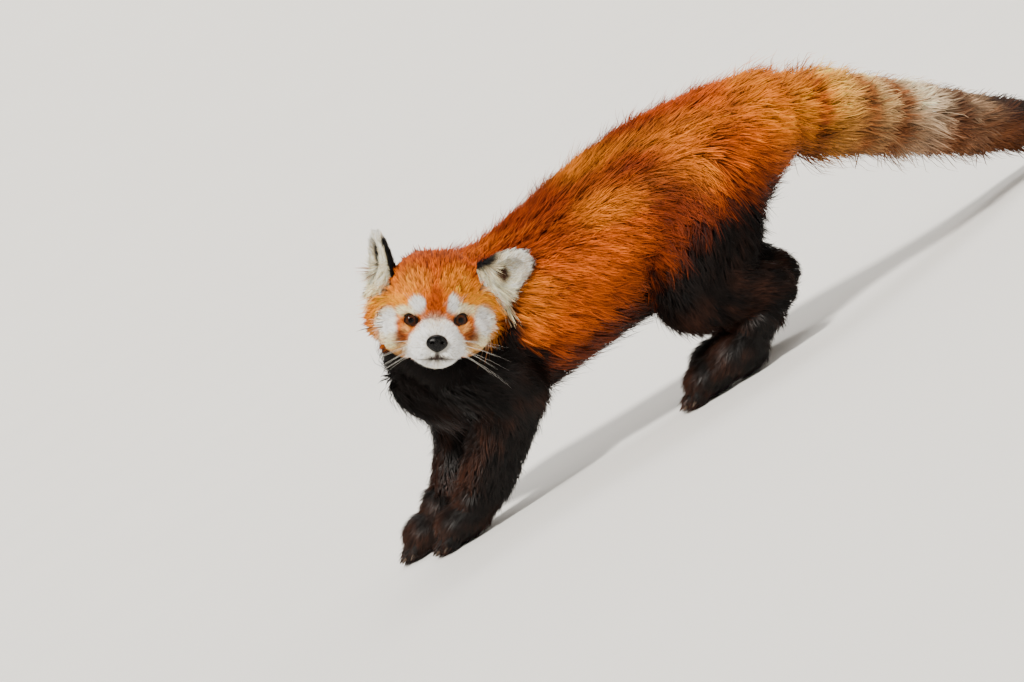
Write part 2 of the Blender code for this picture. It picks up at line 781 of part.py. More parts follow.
def finish():
    """Centres the model over the origin, and gives each node its material and its collection."""
    nodes = list(bpy.data.objects)
    corners = [v.co for obj in nodes for v in obj.data.vertices]
    low = [min(c[i] for c in corners) for i in range(3)]
    high = [max(c[i] for c in corners) for i in range(3)]
    shift = Matrix.Translation((-(low[0] + high[0]) / 2, -(low[1] + high[1]) / 2, -low[2]))
    panda = bpy.data.collections.new("red_panda")
    bpy.context.scene.collection.children.link(panda)
    for obj in nodes:
        obj.data.transform(shift)
        for other in obj.users_collection:
            other.objects.unlink(obj)
        panda.objects.link(obj)
        kind = colour_of(obj.name)
        glossy = kind in ("nose", "eye")
        obj.data.materials.clear()
        obj.data.materials.append(material(obj.name, COLOURS[kind], 0.2 if glossy else 0.85))
        obj.data.shade_smooth()


def main():
    clear_scene()
    whole = body()
    room = head_nodes()
    room += [swollen(paw(name)) for name in PAWS]
    combined(whole, "DIFFERENCE", room)
    part_body(whole)
    finish()


main()
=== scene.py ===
"""The looks of a life-size red panda that walks with its head turned to its left.

Tables are in millimetres in the stance frame of the solids: x points forwards, y to the animal's
left and z up from the floor. One skin takes the place of the flesh, and a coat of solid tufts grows
on it. Skin and coat take their colours from the same functions of the place on the body.
"""

import math

import bmesh
import bpy
import numpy as np
from mathutils import Matrix, Vector
from mathutils.bvhtree import BVHTree
from mathutils.kdtree import KDTree


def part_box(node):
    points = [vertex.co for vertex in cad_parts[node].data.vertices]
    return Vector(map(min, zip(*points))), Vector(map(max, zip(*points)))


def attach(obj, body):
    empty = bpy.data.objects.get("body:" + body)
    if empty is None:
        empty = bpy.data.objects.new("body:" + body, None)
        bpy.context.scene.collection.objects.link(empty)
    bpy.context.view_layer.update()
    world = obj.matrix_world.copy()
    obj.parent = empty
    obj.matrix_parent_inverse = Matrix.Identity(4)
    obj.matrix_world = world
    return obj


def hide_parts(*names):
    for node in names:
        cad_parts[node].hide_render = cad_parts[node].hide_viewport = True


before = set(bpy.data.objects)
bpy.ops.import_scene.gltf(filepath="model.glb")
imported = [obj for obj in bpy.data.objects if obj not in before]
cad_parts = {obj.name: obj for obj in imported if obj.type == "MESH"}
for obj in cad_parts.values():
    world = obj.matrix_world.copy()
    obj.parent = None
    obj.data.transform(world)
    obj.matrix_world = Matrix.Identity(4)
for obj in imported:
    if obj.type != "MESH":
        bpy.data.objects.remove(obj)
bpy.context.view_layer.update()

MM = 0.001
SEED = 7
UP = Vector((0, 0, 1))
LEFT = Vector((0, 1, 0))

# The head's place in the stance frame, and the way it turns
EYE_RADIUS = 8.0
EYE_SPACING = 43.0
HEAD_AT = Vector((-98, 100, 194))
HEAD_TURN = (
    Matrix.Rotation(math.radians(95.2), 3, "Z")
    @ Matrix.Rotation(math.radians(-3), 3, "Y")
    @ Matrix.Rotation(math.radians(-31), 3, "X")
)
TURN = np.array(HEAD_TURN)
EYE_AT = Vector((6.5, EYE_SPACING / 2, 0))
EYE_OUTWARD = math.radians(16)
EYE_GAZE = 0.35

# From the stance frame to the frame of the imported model, in metres
EYE_LOW, EYE_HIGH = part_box("eye_left")
SHIFT = (EYE_LOW + EYE_HIGH) / 2 - (HEAD_AT + HEAD_TURN @ EYE_AT) * MM

# The photograph's camera, in the stance frame: how much it is rolled, the height that it looks
# from, its distance, and the width that each pixel covers at the animal
PHOTO_SIZE = (1024, 682)
ROLL = math.radians(31)
CAMERA_RAISED = math.radians(6)
CAMERA_DISTANCE = 3.5
PIXEL = 0.92 * MM
ORIGIN_PIXEL = (455, 545)
SENSOR = 36

# Stations of a tube, out to the outline of the coat: x, y, z, half width, half height
TORSO = (
    (-36, 0, 134, 18, 22),
    (-46, 0, 138, 34, 42),
    (-66, 0, 142, 48, 58),
    (-100, 0, 147, 60, 69),
    (-140, 0, 152, 67, 74),
    (-184, 0, 157, 72, 75),
    (-230, 0, 163, 76, 78),
    (-276, 0, 169, 78, 80),
    (-322, 0, 175, 77, 79),
    (-368, 0, 181, 71, 71),
    (-405, 0, 188, 59, 58),
    (-437, 0, 194, 45, 43),
    (-455, 0, 197, 34, 34),
)
NECK = (
    (-134, -6, 174, 58, 58),
    (-108, 6, 178, 60, 60),
    (-94, 26, 182, 58, 58),
    (-94, 46, 184, 50, 50),
)
TAIL = (
    (-425, 0, 190, 42, 42),
    (-468, -12, 178, 44, 44),
    (-512, -38, 156, 41, 41),
    (-552, -76, 128, 37, 36),
    (-590, -120, 99, 32, 31),
    (-626, -166, 71, 28, 27),
    (-660, -208, 47, 25, 25),
    (-682, -234, 34, 14, 15),
)
# Where the skin of the tail ends, short of the tips of its hair
TAIL_SKIN_END = (-668, -217, 42, 6, 6)

# Limbs, joint by joint: x, y, z, half size fore and aft, half size sideways
LIMBS = {
    "upper_arm_left": ((-80, 42, 172, 34, 27), (-100, 49, 134, 36, 27), (-120, 53, 100, 34, 26)),
    "forearm_left": ((-120, 53, 100, 34, 26), (-92, 48, 70, 31, 24), (-60, 43, 42, 28, 23)),
    "upper_arm_right": ((-80, -42, 172, 34, 27), (-70, -49, 134, 36, 27), (-66, -53, 100, 33, 26)),
    "forearm_right": ((-66, -53, 100, 33, 26), (-50, -48, 70, 30, 24), (-26, -42, 42, 27, 23)),
    "thigh_left": ((-366, 40, 172, 54, 34), (-336, 50, 130, 57, 34), (-310, 57, 96, 42, 29)),
    "shank_left": ((-310, 57, 96, 42, 29), (-342, 55, 76, 37, 27), (-368, 51, 58, 26, 23)),
    "thigh_right": ((-366, -40, 172, 54, 34), (-340, -50, 130, 57, 34), (-320, -57, 96, 42, 29)),
    "shank_right": ((-320, -57, 96, 42, 29), (-352, -55, 76, 37, 27), (-380, -51, 58, 26, 23)),
}

# Balls of the paws from a point on the floor: x, y, z, then half sizes along x, y and z
FOREPAW = (
    ((2, 0, 19), (31, 26, 21)),
    ((-20, 3, 31), (25, 23, 22)),
)
HINDFOOT = (
    ((2, 0, 19), (30, 27, 20)),
    ((-30, 0, 24), (32, 26, 25)),
    ((-60, 0, 42), (28, 22, 21)),
    ((-76, 0, 52), (22, 21, 20)),
)
PAWS = {
    "forepaw_left": (FOREPAW, Vector((-24, 38, 0)), 1),
    "forepaw_right": (FOREPAW, Vector((14, -38, 0)), -1),
    "hindfoot_left": (HINDFOOT, Vector((-286, 50, 0)), 1),
    "hindfoot_right": (HINDFOOT, Vector((-298, -50, 0)), -1),
}
PAW_BONE_SIZE = (22, 20)
TOE_REACH = 31.0
TOE_FAN = math.radians(17)
TOE_DROP = 1.6
TOE_HEIGHT = 8.0
TOE_SIZE = Vector((11.5, 6.6, 9.5))
CLAW_HEIGHT = 7.0
CLAW_LENGTH = 7.0
CLAW_SUNK = 3.0
CLAW_RADIUS = 1.5
CLAW_DROP = 0.35

# The head's skin, in the head's frame: x to the nose, y to its left, z up, from between the eyes
SKULL = (
    ((-32, 0, 13), (48.5, 51, 45)),
    ((-52, 0, 6), (29, 39, 35)),
    ((-26, 28, -1), (25.5, 25, 24)),
    ((-26, -28, -1), (25.5, 25, 24)),
    ((-8, 24, -12), (22.5, 22, 20)),
    ((-8, -24, -12), (22.5, 22, 20)),
)
# Stations of the muzzle: x, y, z, half height, half width
MUZZLE = (
    (-14, 0, -14, 29.5, 28.5),
    (5, 0, -19, 22.5, 25.5),
    (17, 0, -22, 19, 23.5),
    (28, 0, -24.5, 17, 20.5),
    (35, 0, -25, 14, 16.5),
    (39.5, 0, -24.5, 8.5, 9.5),
)
MOUTH = ((11, 26, -30), (19, 24, -33), (28, 19, -34), (35, 10, -33), (39, 0, -32))
MOUTH_RADIUS = 0.9
SOCKET_RADIUS = EYE_RADIUS + 0.1
NOSE_AT = Vector((40, 0, -20))
NOSE_SIZE = (6.5, 9.8, 7.8)
# How much narrower and flatter the nose is at its lower edge
NOSE_NARROWED = 0.28
NOSE_FLATTENED = 0.10
NOSTRIL_AT = Vector((45.9, 4.4, -19.5))
NOSTRIL_SIZE = (3.0, 1.9, 1.6)
LID_RADIUS = 5.6
LID_THICKNESS = 1.4
LID_FORWARD = Vector((5.0, 0, 0))
LID_FLATTENED = Vector((1, 1, 0.84))
IRIS_RADIUS = 5.2

# Where the head is for its markings and coat: an ellipsoid, and a line along the muzzle
HEAD_MIDDLE = (-24, 0, 4)
HEAD_SIZE = (66, 64, 56)
MUZZLE_LINE = ((0, 0, -18.0), (48, 0, -24.0))
MUZZLE_RADIUS = 34

# Each ear: its foot, its tip, the way its cup faces
EARS = {
    "ear_left": (Vector((-26, 42, 30)), Vector((-18, 86, 56)), Vector((1, 0.1, -0.25))),
    "ear_right": (Vector((-26, -44, 32)), Vector((-26, -53, 80)), Vector((0.35, -1, 0.1))),
}
# Along an ear, from 0 at its foot to 1: half thickness, half width
EAR_SHAPE = ((0, 11, 19), (0.3, 9.5, 19), (0.6, 7.5, 17), (0.85, 5, 12), (0.97, 3, 6))
EAR_CUP_ALONG = 0.55
EAR_CUP_FORWARD = 8.5
EAR_CUP = (10, 12.5, 17)
# What counts as an ear: the share of its length, outside the skull, and this far round it
EAR_ENDS = (0.08, 1.12)
EAR_CLEAR = 1.02
EAR_MARGIN = 3.0

# Steps of the grid that fuses overlapping pieces, and rounds of softening
BODY_FUSE = (3.2, 6)
PAW_FUSE = (1.8, 2)
HEAD_FUSE = (1.3, 4)
EAR_FUSE = (1.0, 4)
NOSE_FUSE = (0.5, 3)
# Faces of the joined skin that come in the same order each time. Those of the seams and ears after
# them don't, so they are put in the order of their points
STEADY_FACES = 88745

# The share of the outline that the skin keeps under the coat
SKIN_SHARE = {"torso": 0.85, "neck": 0.86, "tail": 0.6}
SKIN_SHARE |= {"thigh": 0.84, "upper": 0.84, "forearm": 0.8, "shank": 0.8}
# The coat of each region: length of a tuft, height of its tip over the skin, half width
COATS = {
    "torso": (30, 12, 0.60),
    "neck": (26, 10, 0.58),
    "tail": (44, 18, 0.68),
    "thigh": (26, 9, 0.60),
    "upper": (23, 7, 0.58),
    "forearm": (14, 5.6, 0.46),
    "shank": (14, 5.6, 0.46),
    "paw": (10, 3.4, 0.42),
}
PAW_COAT = 2.8
# Along the tail: shares of its coat's length, of its height below and of its height above
TAIL_COAT = (
    (0, 0.8, 1.0, 1.2),
    (45, 0.8, 1.0, 1.15),
    (70, 0.68, 0.95, 0.95),
    (100, 0.62, 1.0, 0.6),
    (200, 0.7, 1.1, 0.5),
    (260, 0.7, 1.0, 0.45),
    (389, 0.5, 0.4, 0.35),
)
# More height where the rump runs into the tail: where, how far fore and aft, and how much
RUMP_AT = -452
RUMP_REACH = 20
RUMP_RISE = 5
# Where the hair of the head parts, and its coat in the face, then what the crown, the cheek, the
# outer cheek, its edge, the back of the head and all behind the muzzle add to it
WHORL = (44, 0, -22)
HEAD_COAT = (
    (4.4, 1.3, 0.34),
    (8.0, 4.0, 0.22),
    (0, 0, 0.25),
    (12, 4.5, 0),
    (7, 4, 0),
    (13, 3, 0.2),
    (3, 0, 0),
)
# How the way of the hair bends on the cheek, behind the brow, on the nape and below an ear
HEAD_BENDS = ((-0.5, 0, -0.35), (-0.5, 0, 0), (0, 0, -0.7), (0, 0.4, -1.5))
# Length and height of the hair on the side of the head below an ear
FRINGE = (21, 10)
# The coat of an ear, then what its edge and its hollow add to it
EAR_COAT = ((4.5, 1.8, 0.32), (2.5, 1.6, 0), (11, 3, 0))
EAR_FAN = 30

# Colours, linear
RUST = (0.33, 0.038, 0.0006)
CROWN_RUST = (0.24, 0.028, 0.0005)
DEEP_RUST = (0.125, 0.014, 0.001)
ORANGE = (0.58, 0.102, 0.0006)
GOLD = (0.76, 0.235, 0.009)
BLACK_BROWN = (0.0036, 0.0020, 0.0016)
WARM_BROWN = (0.050, 0.016, 0.008)
WHITE = (0.96, 0.91, 0.83)
CREAM = (0.94, 0.76, 0.48)
BUFF = (0.66, 0.32, 0.10)
TEAR = (0.40, 0.075, 0.006)
TEAR_DARK = (0.05, 0.014, 0.007)
EAR_BACK = (0.006, 0.005, 0.0055)
MOUTH_DARK = (0.020, 0.010, 0.008)
LID_COLOUR = (0.008, 0.005, 0.004)
# Painted shade for the underside of the tail
TAIL_UNDERSIDE_SHADE = (0.14, 0.040, 0.010)

# Markings of the face from in front, each over the one before: colour, middle across and up, half
# sizes, strength, and whether only the front of the head has it. First brow and cheeks, rust at
# their edge, the buff lower cheek that goes brown, and the white and cream spots
FACE_BLOTS = (
    (GOLD, (18, 34), (14, 12), 0.5, False),
    (CROWN_RUST, (0, 13), (7, 16), 0.8, True),
    (GOLD, (56, 6), (9, 22), 0.7, False),
    (RUST, (63, 0), (7, 19), 0.8, False),
    (BUFF, (37, -25), (14, 10), 1, True),
    (TEAR_DARK, (42, -34), (15, 7), 0.8, True),
    (WHITE, (15.6, 14), (5.9, 7.8), 1, True),
    (CREAM, (27, 9), (9, 5), 0.7, True),
    (WHITE, (42.5, -2), (8, 13.5), 1, True),
    (CREAM, (40, -17), (11, 7), 0.6, True),
)
# The mark from the eye down to the corner of the mouth, dark in its lower part, and the pale foot
# of the ear
TEAR_BLOTS = (
    (TEAR, (30.5, -8), (6, 12), 1, True),
    (BUFF, (27, -7), (4, 4), 0.6, True),
    (TEAR_DARK, (32, -15), (6, 8), 0.65, True),
    (CREAM, (52, 33), (9, 9), 0.7, False),
)
# Half width of the white of the muzzle at each level
MUZZLE_WHITE = ((-48, 9), (-42, 16), (-34, 24), (-26, 27), (-14, 22), (0, 11), (8, 6))
# Across the face, the level of the line of the mouth
LIP_LINE = ((0, -32), (10, -33), (19, -34), (24, -33), (26, -30))
EYE_RIM = (6.7, 5.6)
# The chin's lowest point; the dark of the throat rises from it backwards
JAW_LEVEL = -47
JAW_RISE = 0.28
# Where the outer edge of a cheek goes over into the dark of the throat, across and up
CHEEK_EDGE = (59, -2)
# Ends of the pale streak behind the cheek, across and up from between the eyes
STREAK = ((60, 28), (67, 8))
# Painted shade in the dark opening of an ear's hollow: its place outward and along the ear, and its half
# sizes
EAR_HOLLOW_SHADE = (-1, 22)
EAR_HOLLOW_SHADE_SIZE = (7.5, 5.6)
EAR_LENGTH = 51
# An ear whose width runs sideways is dark along its upper edge, as far across as this share of its
# half width. An ear that is turned away is dark behind its front edge.
SIDEWAYS = 0.45
UPPER_EDGE = -0.85

# Along the body on either side: where the dark of the belly and legs ends below the rust
DARK_BELOW = (
    (-420, 138), (-392, 141), (-365, 141), (-332, 138), (-293, 125), (-262, 110), (-211, 97),
    (-180, 88), (-164, 88), (-157, 152), (-132, 176), (-100, 192), (-60, 208), (-30, 216),
)
# The darker rust before the thigh, partly painted shade between flank and thigh: its middle along and up,
# and its half sizes
BEFORE_THIGH_RUST_AND_SHADE = (-330, 164)
BEFORE_THIGH_RUST_AND_SHADE_SIZE = (30, 46)
# Rings of the tail, from its root: how far, and how dark there
TAIL_RINGS = (
    (0, 0), (14, 0.1), (29, 0.8), (42, 0.1), (57, 1.0), (70, 0.1), (86, 0.0), (106, 1.0), (125, 0.0),
    (145, 1.0), (166, 0.1), (184, 0.0), (206, 0.5), (228, 1.0), (258, 0.3), (284, 0.7), (306, 1.0),
)
# How far along the tail, the colour of its pale rings there and that of its dark rings
TAIL_TONES = (
    (0, 0.66, 0.15, 0.003, 0.32, 0.040, 0.002),
    (60, 0.76, 0.24, 0.014, 0.22, 0.032, 0.003),
    (86, 0.82, 0.37, 0.07, 0.24, 0.046, 0.005),
    (125, 0.84, 0.52, 0.22, 0.22, 0.050, 0.008),
    (184, 0.86, 0.66, 0.44, 0.13, 0.038, 0.011),
    (240, 0.50, 0.33, 0.20, 0.060, 0.023, 0.012),
    (310, 0.20, 0.11, 0.06, 0.030, 0.014, 0.010),
)

# A tuft from its root to its tip: place along it and share of its half width
SHORT_RINGS = ((0.0, 1.0),)
RINGS = ((0.0, 0.8), (0.45, 1.0))
LONG_RINGS = ((0.0, 0.7), (0.35, 1.0), (0.7, 0.7))
FLATNESS = 0.55
SUNK = 1.0
PATCH = 0.003
FLOOR_GAP = 0.2 * MM
# How much of a tuft's shading comes from the skin under it
SOFTNESS = 0.6
# How tufts differ in height and in width: middle, spread, least, most; and the limits of length
RISE_RANGE = (0.85, 0.2, 0.35, 1.2)
WIDTH_RANGE = (1, 0.15, 0.6, 1.4)
LENGTH_LIMITS = (0.5, 1.35)
TONE_SPREAD = 0.24
CLUMP_TONE_SPREAD = 0.17
# Single hairs that stand out of the coat: their share, and their height and width against the rest
STRAY_SHARE = 0.09
STRAY_RISE = 2.0
STRAY_WIDTH = 0.6
# Where along a tuft the markings give the colour that most of it has
COLOUR_AT = 0.35
# How much each part of a tuft has the colour of the place that it reaches, where not half
OWN_SHARE = {"coat_tail_base": 1.0, "coat_tail_end": 1.0, "coat_ears": 0.0}

# Pieces of the coat: name, tufts, their rings, slot; then how much they gather into clumps, how
# many tufts make a clump, how closely the tips follow the skin, and how much they sway and differ
COAT_PIECES = (
    ("coat_face", 38000, SHORT_RINGS, "coat_face", 0.35, 8, 0, 0.14, 0.15),
    ("coat_crown_and_cheeks", 16000, RINGS, "coat_face", 0.4, 9, 0.4, 0.16, 0.18),
    ("coat_ears", 9000, SHORT_RINGS, "coat_cream", 0.3, 8, 0, 0.2, 0.2),
    ("coat_neck", 11500, RINGS, "coat_rust", 0.42, 12, 0.6, 0.18, 0.2),
    ("coat_back", 13500, RINGS, "coat_rust", 0.45, 12, 0.65, 0.17, 0.2),
    ("coat_flank_left", 17000, RINGS, "coat_rust", 0.45, 12, 0.7, 0.17, 0.2),
    ("coat_flank_right", 11500, RINGS, "coat_rust", 0.45, 12, 0.7, 0.17, 0.2),
    ("coat_belly", 5700, RINGS, "coat_dark", 0.45, 12, 0.4, 0.18, 0.2),
    ("coat_forelegs", 12500, RINGS, "coat_dark", 0.4, 8, 0.7, 0.2, 0.34),
    ("coat_hind_legs", 15500, RINGS, "coat_dark", 0.4, 8, 0.7, 0.2, 0.3),
    ("coat_paws", 12000, SHORT_RINGS, "coat_dark", 0.3, 8, 0.4, 0.16, 0.15),
    ("coat_tail_base", 7500, LONG_RINGS, "coat_tail", 0.45, 12, 0.4, 0.2, 0.22),
    ("coat_tail_end", 7000, LONG_RINGS, "coat_tail", 0.45, 12, 0.4, 0.22, 0.22),
)
# Where the forelegs end and the hind legs begin, and where the tail's base ends along it
MID_BODY = -240
TAIL_PARTED = 170
# The dark parts of the coat that shine; the thighs' hair is as soft as the back's
GLOSSY_COATS = ("coat_belly", "coat_forelegs", "coat_paws")
# Hairy materials: name, roughness, gloss, how much the tone varies, scale and depth of the grain
SOFT_COAT = ("soft_coat", 0.6, 0.1, 0.16, 900.0, 0.25)
DARK_COAT = ("dark_coat", 0.40, 0.16, 0.25, 900.0, 0.25)
SKIN = ("skin", 0.7, 0.2, 0.2, 1200.0, 0.5)
SKIN_DARKER = 0.5
# Leathery materials: name, colour, roughness, scale and depth of the cells, gloss
NOSE_LEATHER = ("nose_leather", (0.0012, 0.0010, 0.0010), 0.27, 1400.0, 0.3, 0.17)
CLAW_HORN = ("claw_horn", (0.07, 0.045, 0.03), 0.45, 700.0, 0.2, 0.22)
# From the middle of the pupil to the edge of the iris: place and colour
IRIS = (
    (0.0, (0.001, 0.0008, 0.0006)),
    (0.42, (0.001, 0.0008, 0.0006)),
    (0.50, (0.022, 0.007, 0.003)),
    (0.80, (0.040, 0.012, 0.004)),
    (0.95, (0.02, 0.007, 0.003)),
    (1.0, (0.005, 0.003, 0.002)),
)
WHISKER_TONES = ((0.0, (0.62, 0.58, 0.5)), (1.0, (0.86, 0.83, 0.76)))
WHISKER_RADIUS = 0.09
BROW_WHISKER_RADIUS = 0.12
WHISKER_SAG = Vector((-4, 0, -7))

FLOOR_TONES = ((0.0, (0.78, 0.77, 0.75)), (1.0, (0.81, 0.80, 0.78)))
FLOOR_RINGS = (0.4, 1.0, 2.5, 5.5)
BOWL_RADIUS = 9.0
BOWL_STEPS = 12
WALL_RISE = 2
SKY_COLOUR = (1.0, 0.99, 0.965, 1)
SKY_STRENGTH = 0.45
# Each light: the way towards it, its strength, the angle that it fills and its colour
LIGHTS = (
    ("key", (0.35, 1.5, 2.1), 5.2, 12, (1.0, 0.95, 0.87)),
    ("back", (-0.9, -1.6, 2.3), 1.4, 24, (1.0, 0.97, 0.92)),
)

FLESH = ["head", "ear_left", "ear_right", "neck", "torso", "tail", *LIMBS, *PAWS]


def ease(value, low, high):
    """Rises smoothly from 0 at low to 1 at high, or falls where low is the larger."""
    t = np.clip((value - low) / (high - low), 0, 1)
    return t * t * (3 - 2 * t)


def unit(vectors):
    return vectors / np.maximum(np.linalg.norm(vectors, axis=1, keepdims=True), 1e-9)


def looked_up(table, places, column=1):
    """A column of a table at places between those in its first column."""
    return np.interp(places, [row[0] for row in table], [row[column] for row in table])


def blended(shares, rows):
    """The sum of the rows, each by its share at every place."""
    return np.stack(shares, axis=1) @ np.array(rows)


def waves(points, size, seed):
    """Smooth noise of about that wavelength, with a spread of about 1."""
    chance = np.random.default_rng(seed)
    total = np.zeros(len(points))
    for _ in range(8):
        way = chance.normal(size=3)
        way *= 2 * math.pi / (size * chance.uniform(0.6, 1.5) * np.linalg.norm(way))
        total += np.sin(points @ way + chance.uniform(0, 2 * math.pi))
    return total / 2


def patches(points, size, seed):
    """Soft patches of that size, 0 between them and 1 within."""
    return np.clip(waves(points, size, seed), 0, 1)


def painted(colour, layers):
    """A colour under others, each laid on by its share at every place."""
    colour = np.array(colour)
    for other, share in layers:
        colour = colour + (np.array(other) - colour) * share[:, None]
    return colour


def to_head(points):
    """From the stance frame to the head's."""
    return (points - np.array(HEAD_AT)) @ TURN


def blot(across, up, centre, radii, soft=0.35):
    """A soft-edged ellipse in the view along the third axis."""
    far = np.hypot((across - centre[0]) / radii[0], (up - centre[1]) / radii[1])
    return ease(far, 1 + soft, 1 - soft)


def segment_distances(points, start, end):
    """How far each point is from a segment, and the share of the way along it."""
    along = end - start
    t = np.clip((points - start) @ along / (along @ along), 0, 1)
    return np.linalg.norm(points - start - t[:, None] * along, axis=1), t


def tail_distance(points):
    """How far along the tail each point is, from its first station."""
    centres = np.array([s[:3] for s in TAIL], float)
    best = np.full(len(points), 1e9)
    far = np.zeros(len(points))
    before = 0.0
    for start, end in zip(centres, centres[1:]):
        distance, t = segment_distances(points, start, end)
        near = distance < best
        step = np.linalg.norm(end - start)
        far[near] = before + t[near] * step
        best[near] = distance[near]
        before += step
    return far


def head_share(points):
    """1 on the head, 0 on the neck and body, smooth between."""
    h = to_head(points)
    far = np.linalg.norm((h - np.array(HEAD_MIDDLE)) / np.array(HEAD_SIZE), axis=1)
    from_muzzle, _ = segment_distances(h, *np.array(MUZZLE_LINE))
    return np.maximum(ease(far, 1.16, 0.98) * ease(h[:, 0], -86, -60), from_muzzle < MUZZLE_RADIUS)


def ear_frames():
    """Each ear in the head's frame: foot, way along it, length, way across it and its front."""
    for foot, tip, facing in EARS.values():
        along = (tip - foot).normalized()
        front = (facing - along * facing.dot(along)).normalized()
        length = (tip - foot).length
        yield np.array(foot), np.array(along), length, np.array(along.cross(front)), np.array(front)


def ear_share(points):
    """How far along an ear each point of an ear is, or -1 off the ears, and which ear it is on."""
    h = to_head(points)
    share = np.full(len(points), -1.0)
    which = np.zeros(len(points), int)
    middle, size = np.array(SKULL[0])
    outside = np.linalg.norm((h - middle) / size, axis=1) > EAR_CLEAR
    for k, (foot, along, length, across, front) in enumerate(ear_frames()):
        local = h - foot
        t = local @ along / length
        found = outside & (t > EAR_ENDS[0]) & (t < EAR_ENDS[1])
        found &= np.abs(local @ front) < looked_up(EAR_SHAPE, t) + EAR_MARGIN
        found &= np.abs(local @ across) < looked_up(EAR_SHAPE, t, 2) + EAR_MARGIN
        share[found] = t[found]
        which[found] = k
    return share, which


def face_colours(h):
    """The markings of the head, from places in the head's frame."""
    x, y, z = h.T
    side = np.abs(y)
    wobble = waves(h, 9, 3)
    across = side + wobble * 0.7
    up = z + waves(h, 8, 4) * 0.7
    front = ease(x, -46, -30)

    def blots(rows):
        for colour, middle, radii, strength, ahead in rows:
            yield colour, blot(across, up, middle, radii) * strength * (front if ahead else 1)

    half = looked_up(MUZZLE_WHITE, z)
    muzzle = ease(across, half + 4.5, half - 3) * ease(up, 8, -5) * ease(x, -14, 0)
    jaw = JAW_LEVEL + JAW_RISE * np.clip(36 - x, 0, 60) + wobble + waves(h, 3.5, 33) * 1.3
    beyond = across - CHEEK_EDGE[0] - 0.5 * (up - CHEEK_EDGE[1])
    eye = np.hypot((side - EYE_AT.y) / EYE_RIM[0], (z - EYE_AT.z) / EYE_RIM[1])
    from_lip = np.abs(z - looked_up(LIP_LINE, side) + 0.8)
    mouth_line = ease(from_lip, 4.4 - 0.12 * side, 1.4) * ease(side, 15, 5) * ease(x, 14, 22)
    groove = ease(side, 3, 1) * ease(z, -39, -35) * ease(z, -24, -28) * ease(x, 24, 32)
    return painted(ORANGE, (
        (CROWN_RUST, ease(z, 26, 58) * 0.7),
        (DEEP_RUST, patches(h, 7, 31) * ease(z, 22, 44) * 0.5),
        (GOLD, ease(across, 12, 34) * ease(up, 44, 18) * 0.75 * front),
        *blots(FACE_BLOTS),
        (WHITE, muzzle),
        (CREAM, ease(z, -35, -43) * ease(x, 0, 12) * 0.55),
        (BUFF, blot(side, z, (0, -3), (8, 9)) * 0.3 * front),
        *blots(TEAR_BLOTS),
        # Throat and nape
        (BLACK_BROWN, ease(z, jaw + 3, jaw - 3)),
        (BLACK_BROWN, ease(x, -2, -24) * ease(up, -14, -26)),
        (BLACK_BROWN, ease(beyond, -3, 3) * ease(up, 3, -6)),
        # The dark rim of the eye, the line of the mouth and the groove above it
        (LID_COLOUR, ease(eye, 1.1, 0.9) * ease(x, 0, 4)),
        (MOUTH_DARK, mouth_line),
        (MOUTH_DARK, groove * 0.8),
    ))


def ear_colours(points, normals, colour):
    """Cream inside and along the rim, painted shade in the hollow, dark behind and along one edge."""
    share, which = ear_share(points)
    h = to_head(points)
    for k, (foot, _, _, across, front) in enumerate(ear_frames()):
        on = (share >= 0) & (which == k)
        t = share[on]
        ahead = normals[on] @ TURN @ front
        out = (h[on] - foot) @ across * math.copysign(1, foot[1])
        # Painted shade in the hollow, on the parts that face forward
        hollow = blot(out, t * EAR_LENGTH, EAR_HOLLOW_SHADE, EAR_HOLLOW_SHADE_SIZE) * ease(ahead, 0.1, 0.5)
        if abs(across[1]) > SIDEWAYS:
            wide = looked_up(EAR_SHAPE, t, 2)
            rim = ease(out / wide, UPPER_EDGE + 0.15, UPPER_EDGE - 0.1) * ease(t, 0.7, 0.4)
        else:
            rim = ease((h[on] - foot) @ front, 3.5, 0.5)
        colour[on] = painted(CREAM, (
            (WHITE, ease(t, 0.3, 0.95) * 0.5),
            (WARM_BROWN, hollow),
            (EAR_BACK, np.maximum(ease(ahead, -0.15, -0.55), rim) * ease(t, 0.95, 0.8)),
        ))
    return colour


def body_colours(points, normals):
    """The markings of the neck, body and limbs, with some painted light and shade, from places in the
    stance frame.
    """
    x, _, z = points.T
    top = ease(normals[:, 2], 0.25, 0.85)
    low = looked_up(DARK_BELOW, x + waves(points, 30, 21) * 5) + waves(points, 26, 5) * 4
    # The forward-facing front of the forearm is painted warm brown: partly the coat's own brown and partly
    # a painted highlight
    arm_front_brown_and_highlight = ease(z, 92, 50) * ease(normals[:, 0], 0.0, 0.8)
    dark = painted(BLACK_BROWN, (
        (WARM_BROWN, patches(points, 34, 9) * 0.35 * ease(z, 130, 90)),
        (WARM_BROWN, arm_front_brown_and_highlight * 0.5),
    ))
    return painted(ORANGE, (
        # Rust where the skin faces up and brighter orange on the sides: partly the coat's own darker back
        # and partly painted light on the flanks
        (RUST, 0.35 + 0.65 * top),
        (DEEP_RUST, top * ease(x, -150, -210) * ease(x, -370, -320) * 0.75),
        (ORANGE, ease(x, -360, -420) * 0.5),
        (GOLD, patches(points, 60, 6) * 0.34),
        (DEEP_RUST, patches(points, 45, 8) * 0.42),
        (DEEP_RUST, ease(z, low + 60, low) * 0.9),
        # Darker rust before the thigh: partly the coat's own colour and partly painted shade between flank
        # and thigh
        (DEEP_RUST, blot(x, z, BEFORE_THIGH_RUST_AND_SHADE, BEFORE_THIGH_RUST_AND_SHADE_SIZE, 0.7) * 0.85),
        (dark, ease(z + waves(points, 10, 23) * 5, low + 12, low - 8)),
    ))


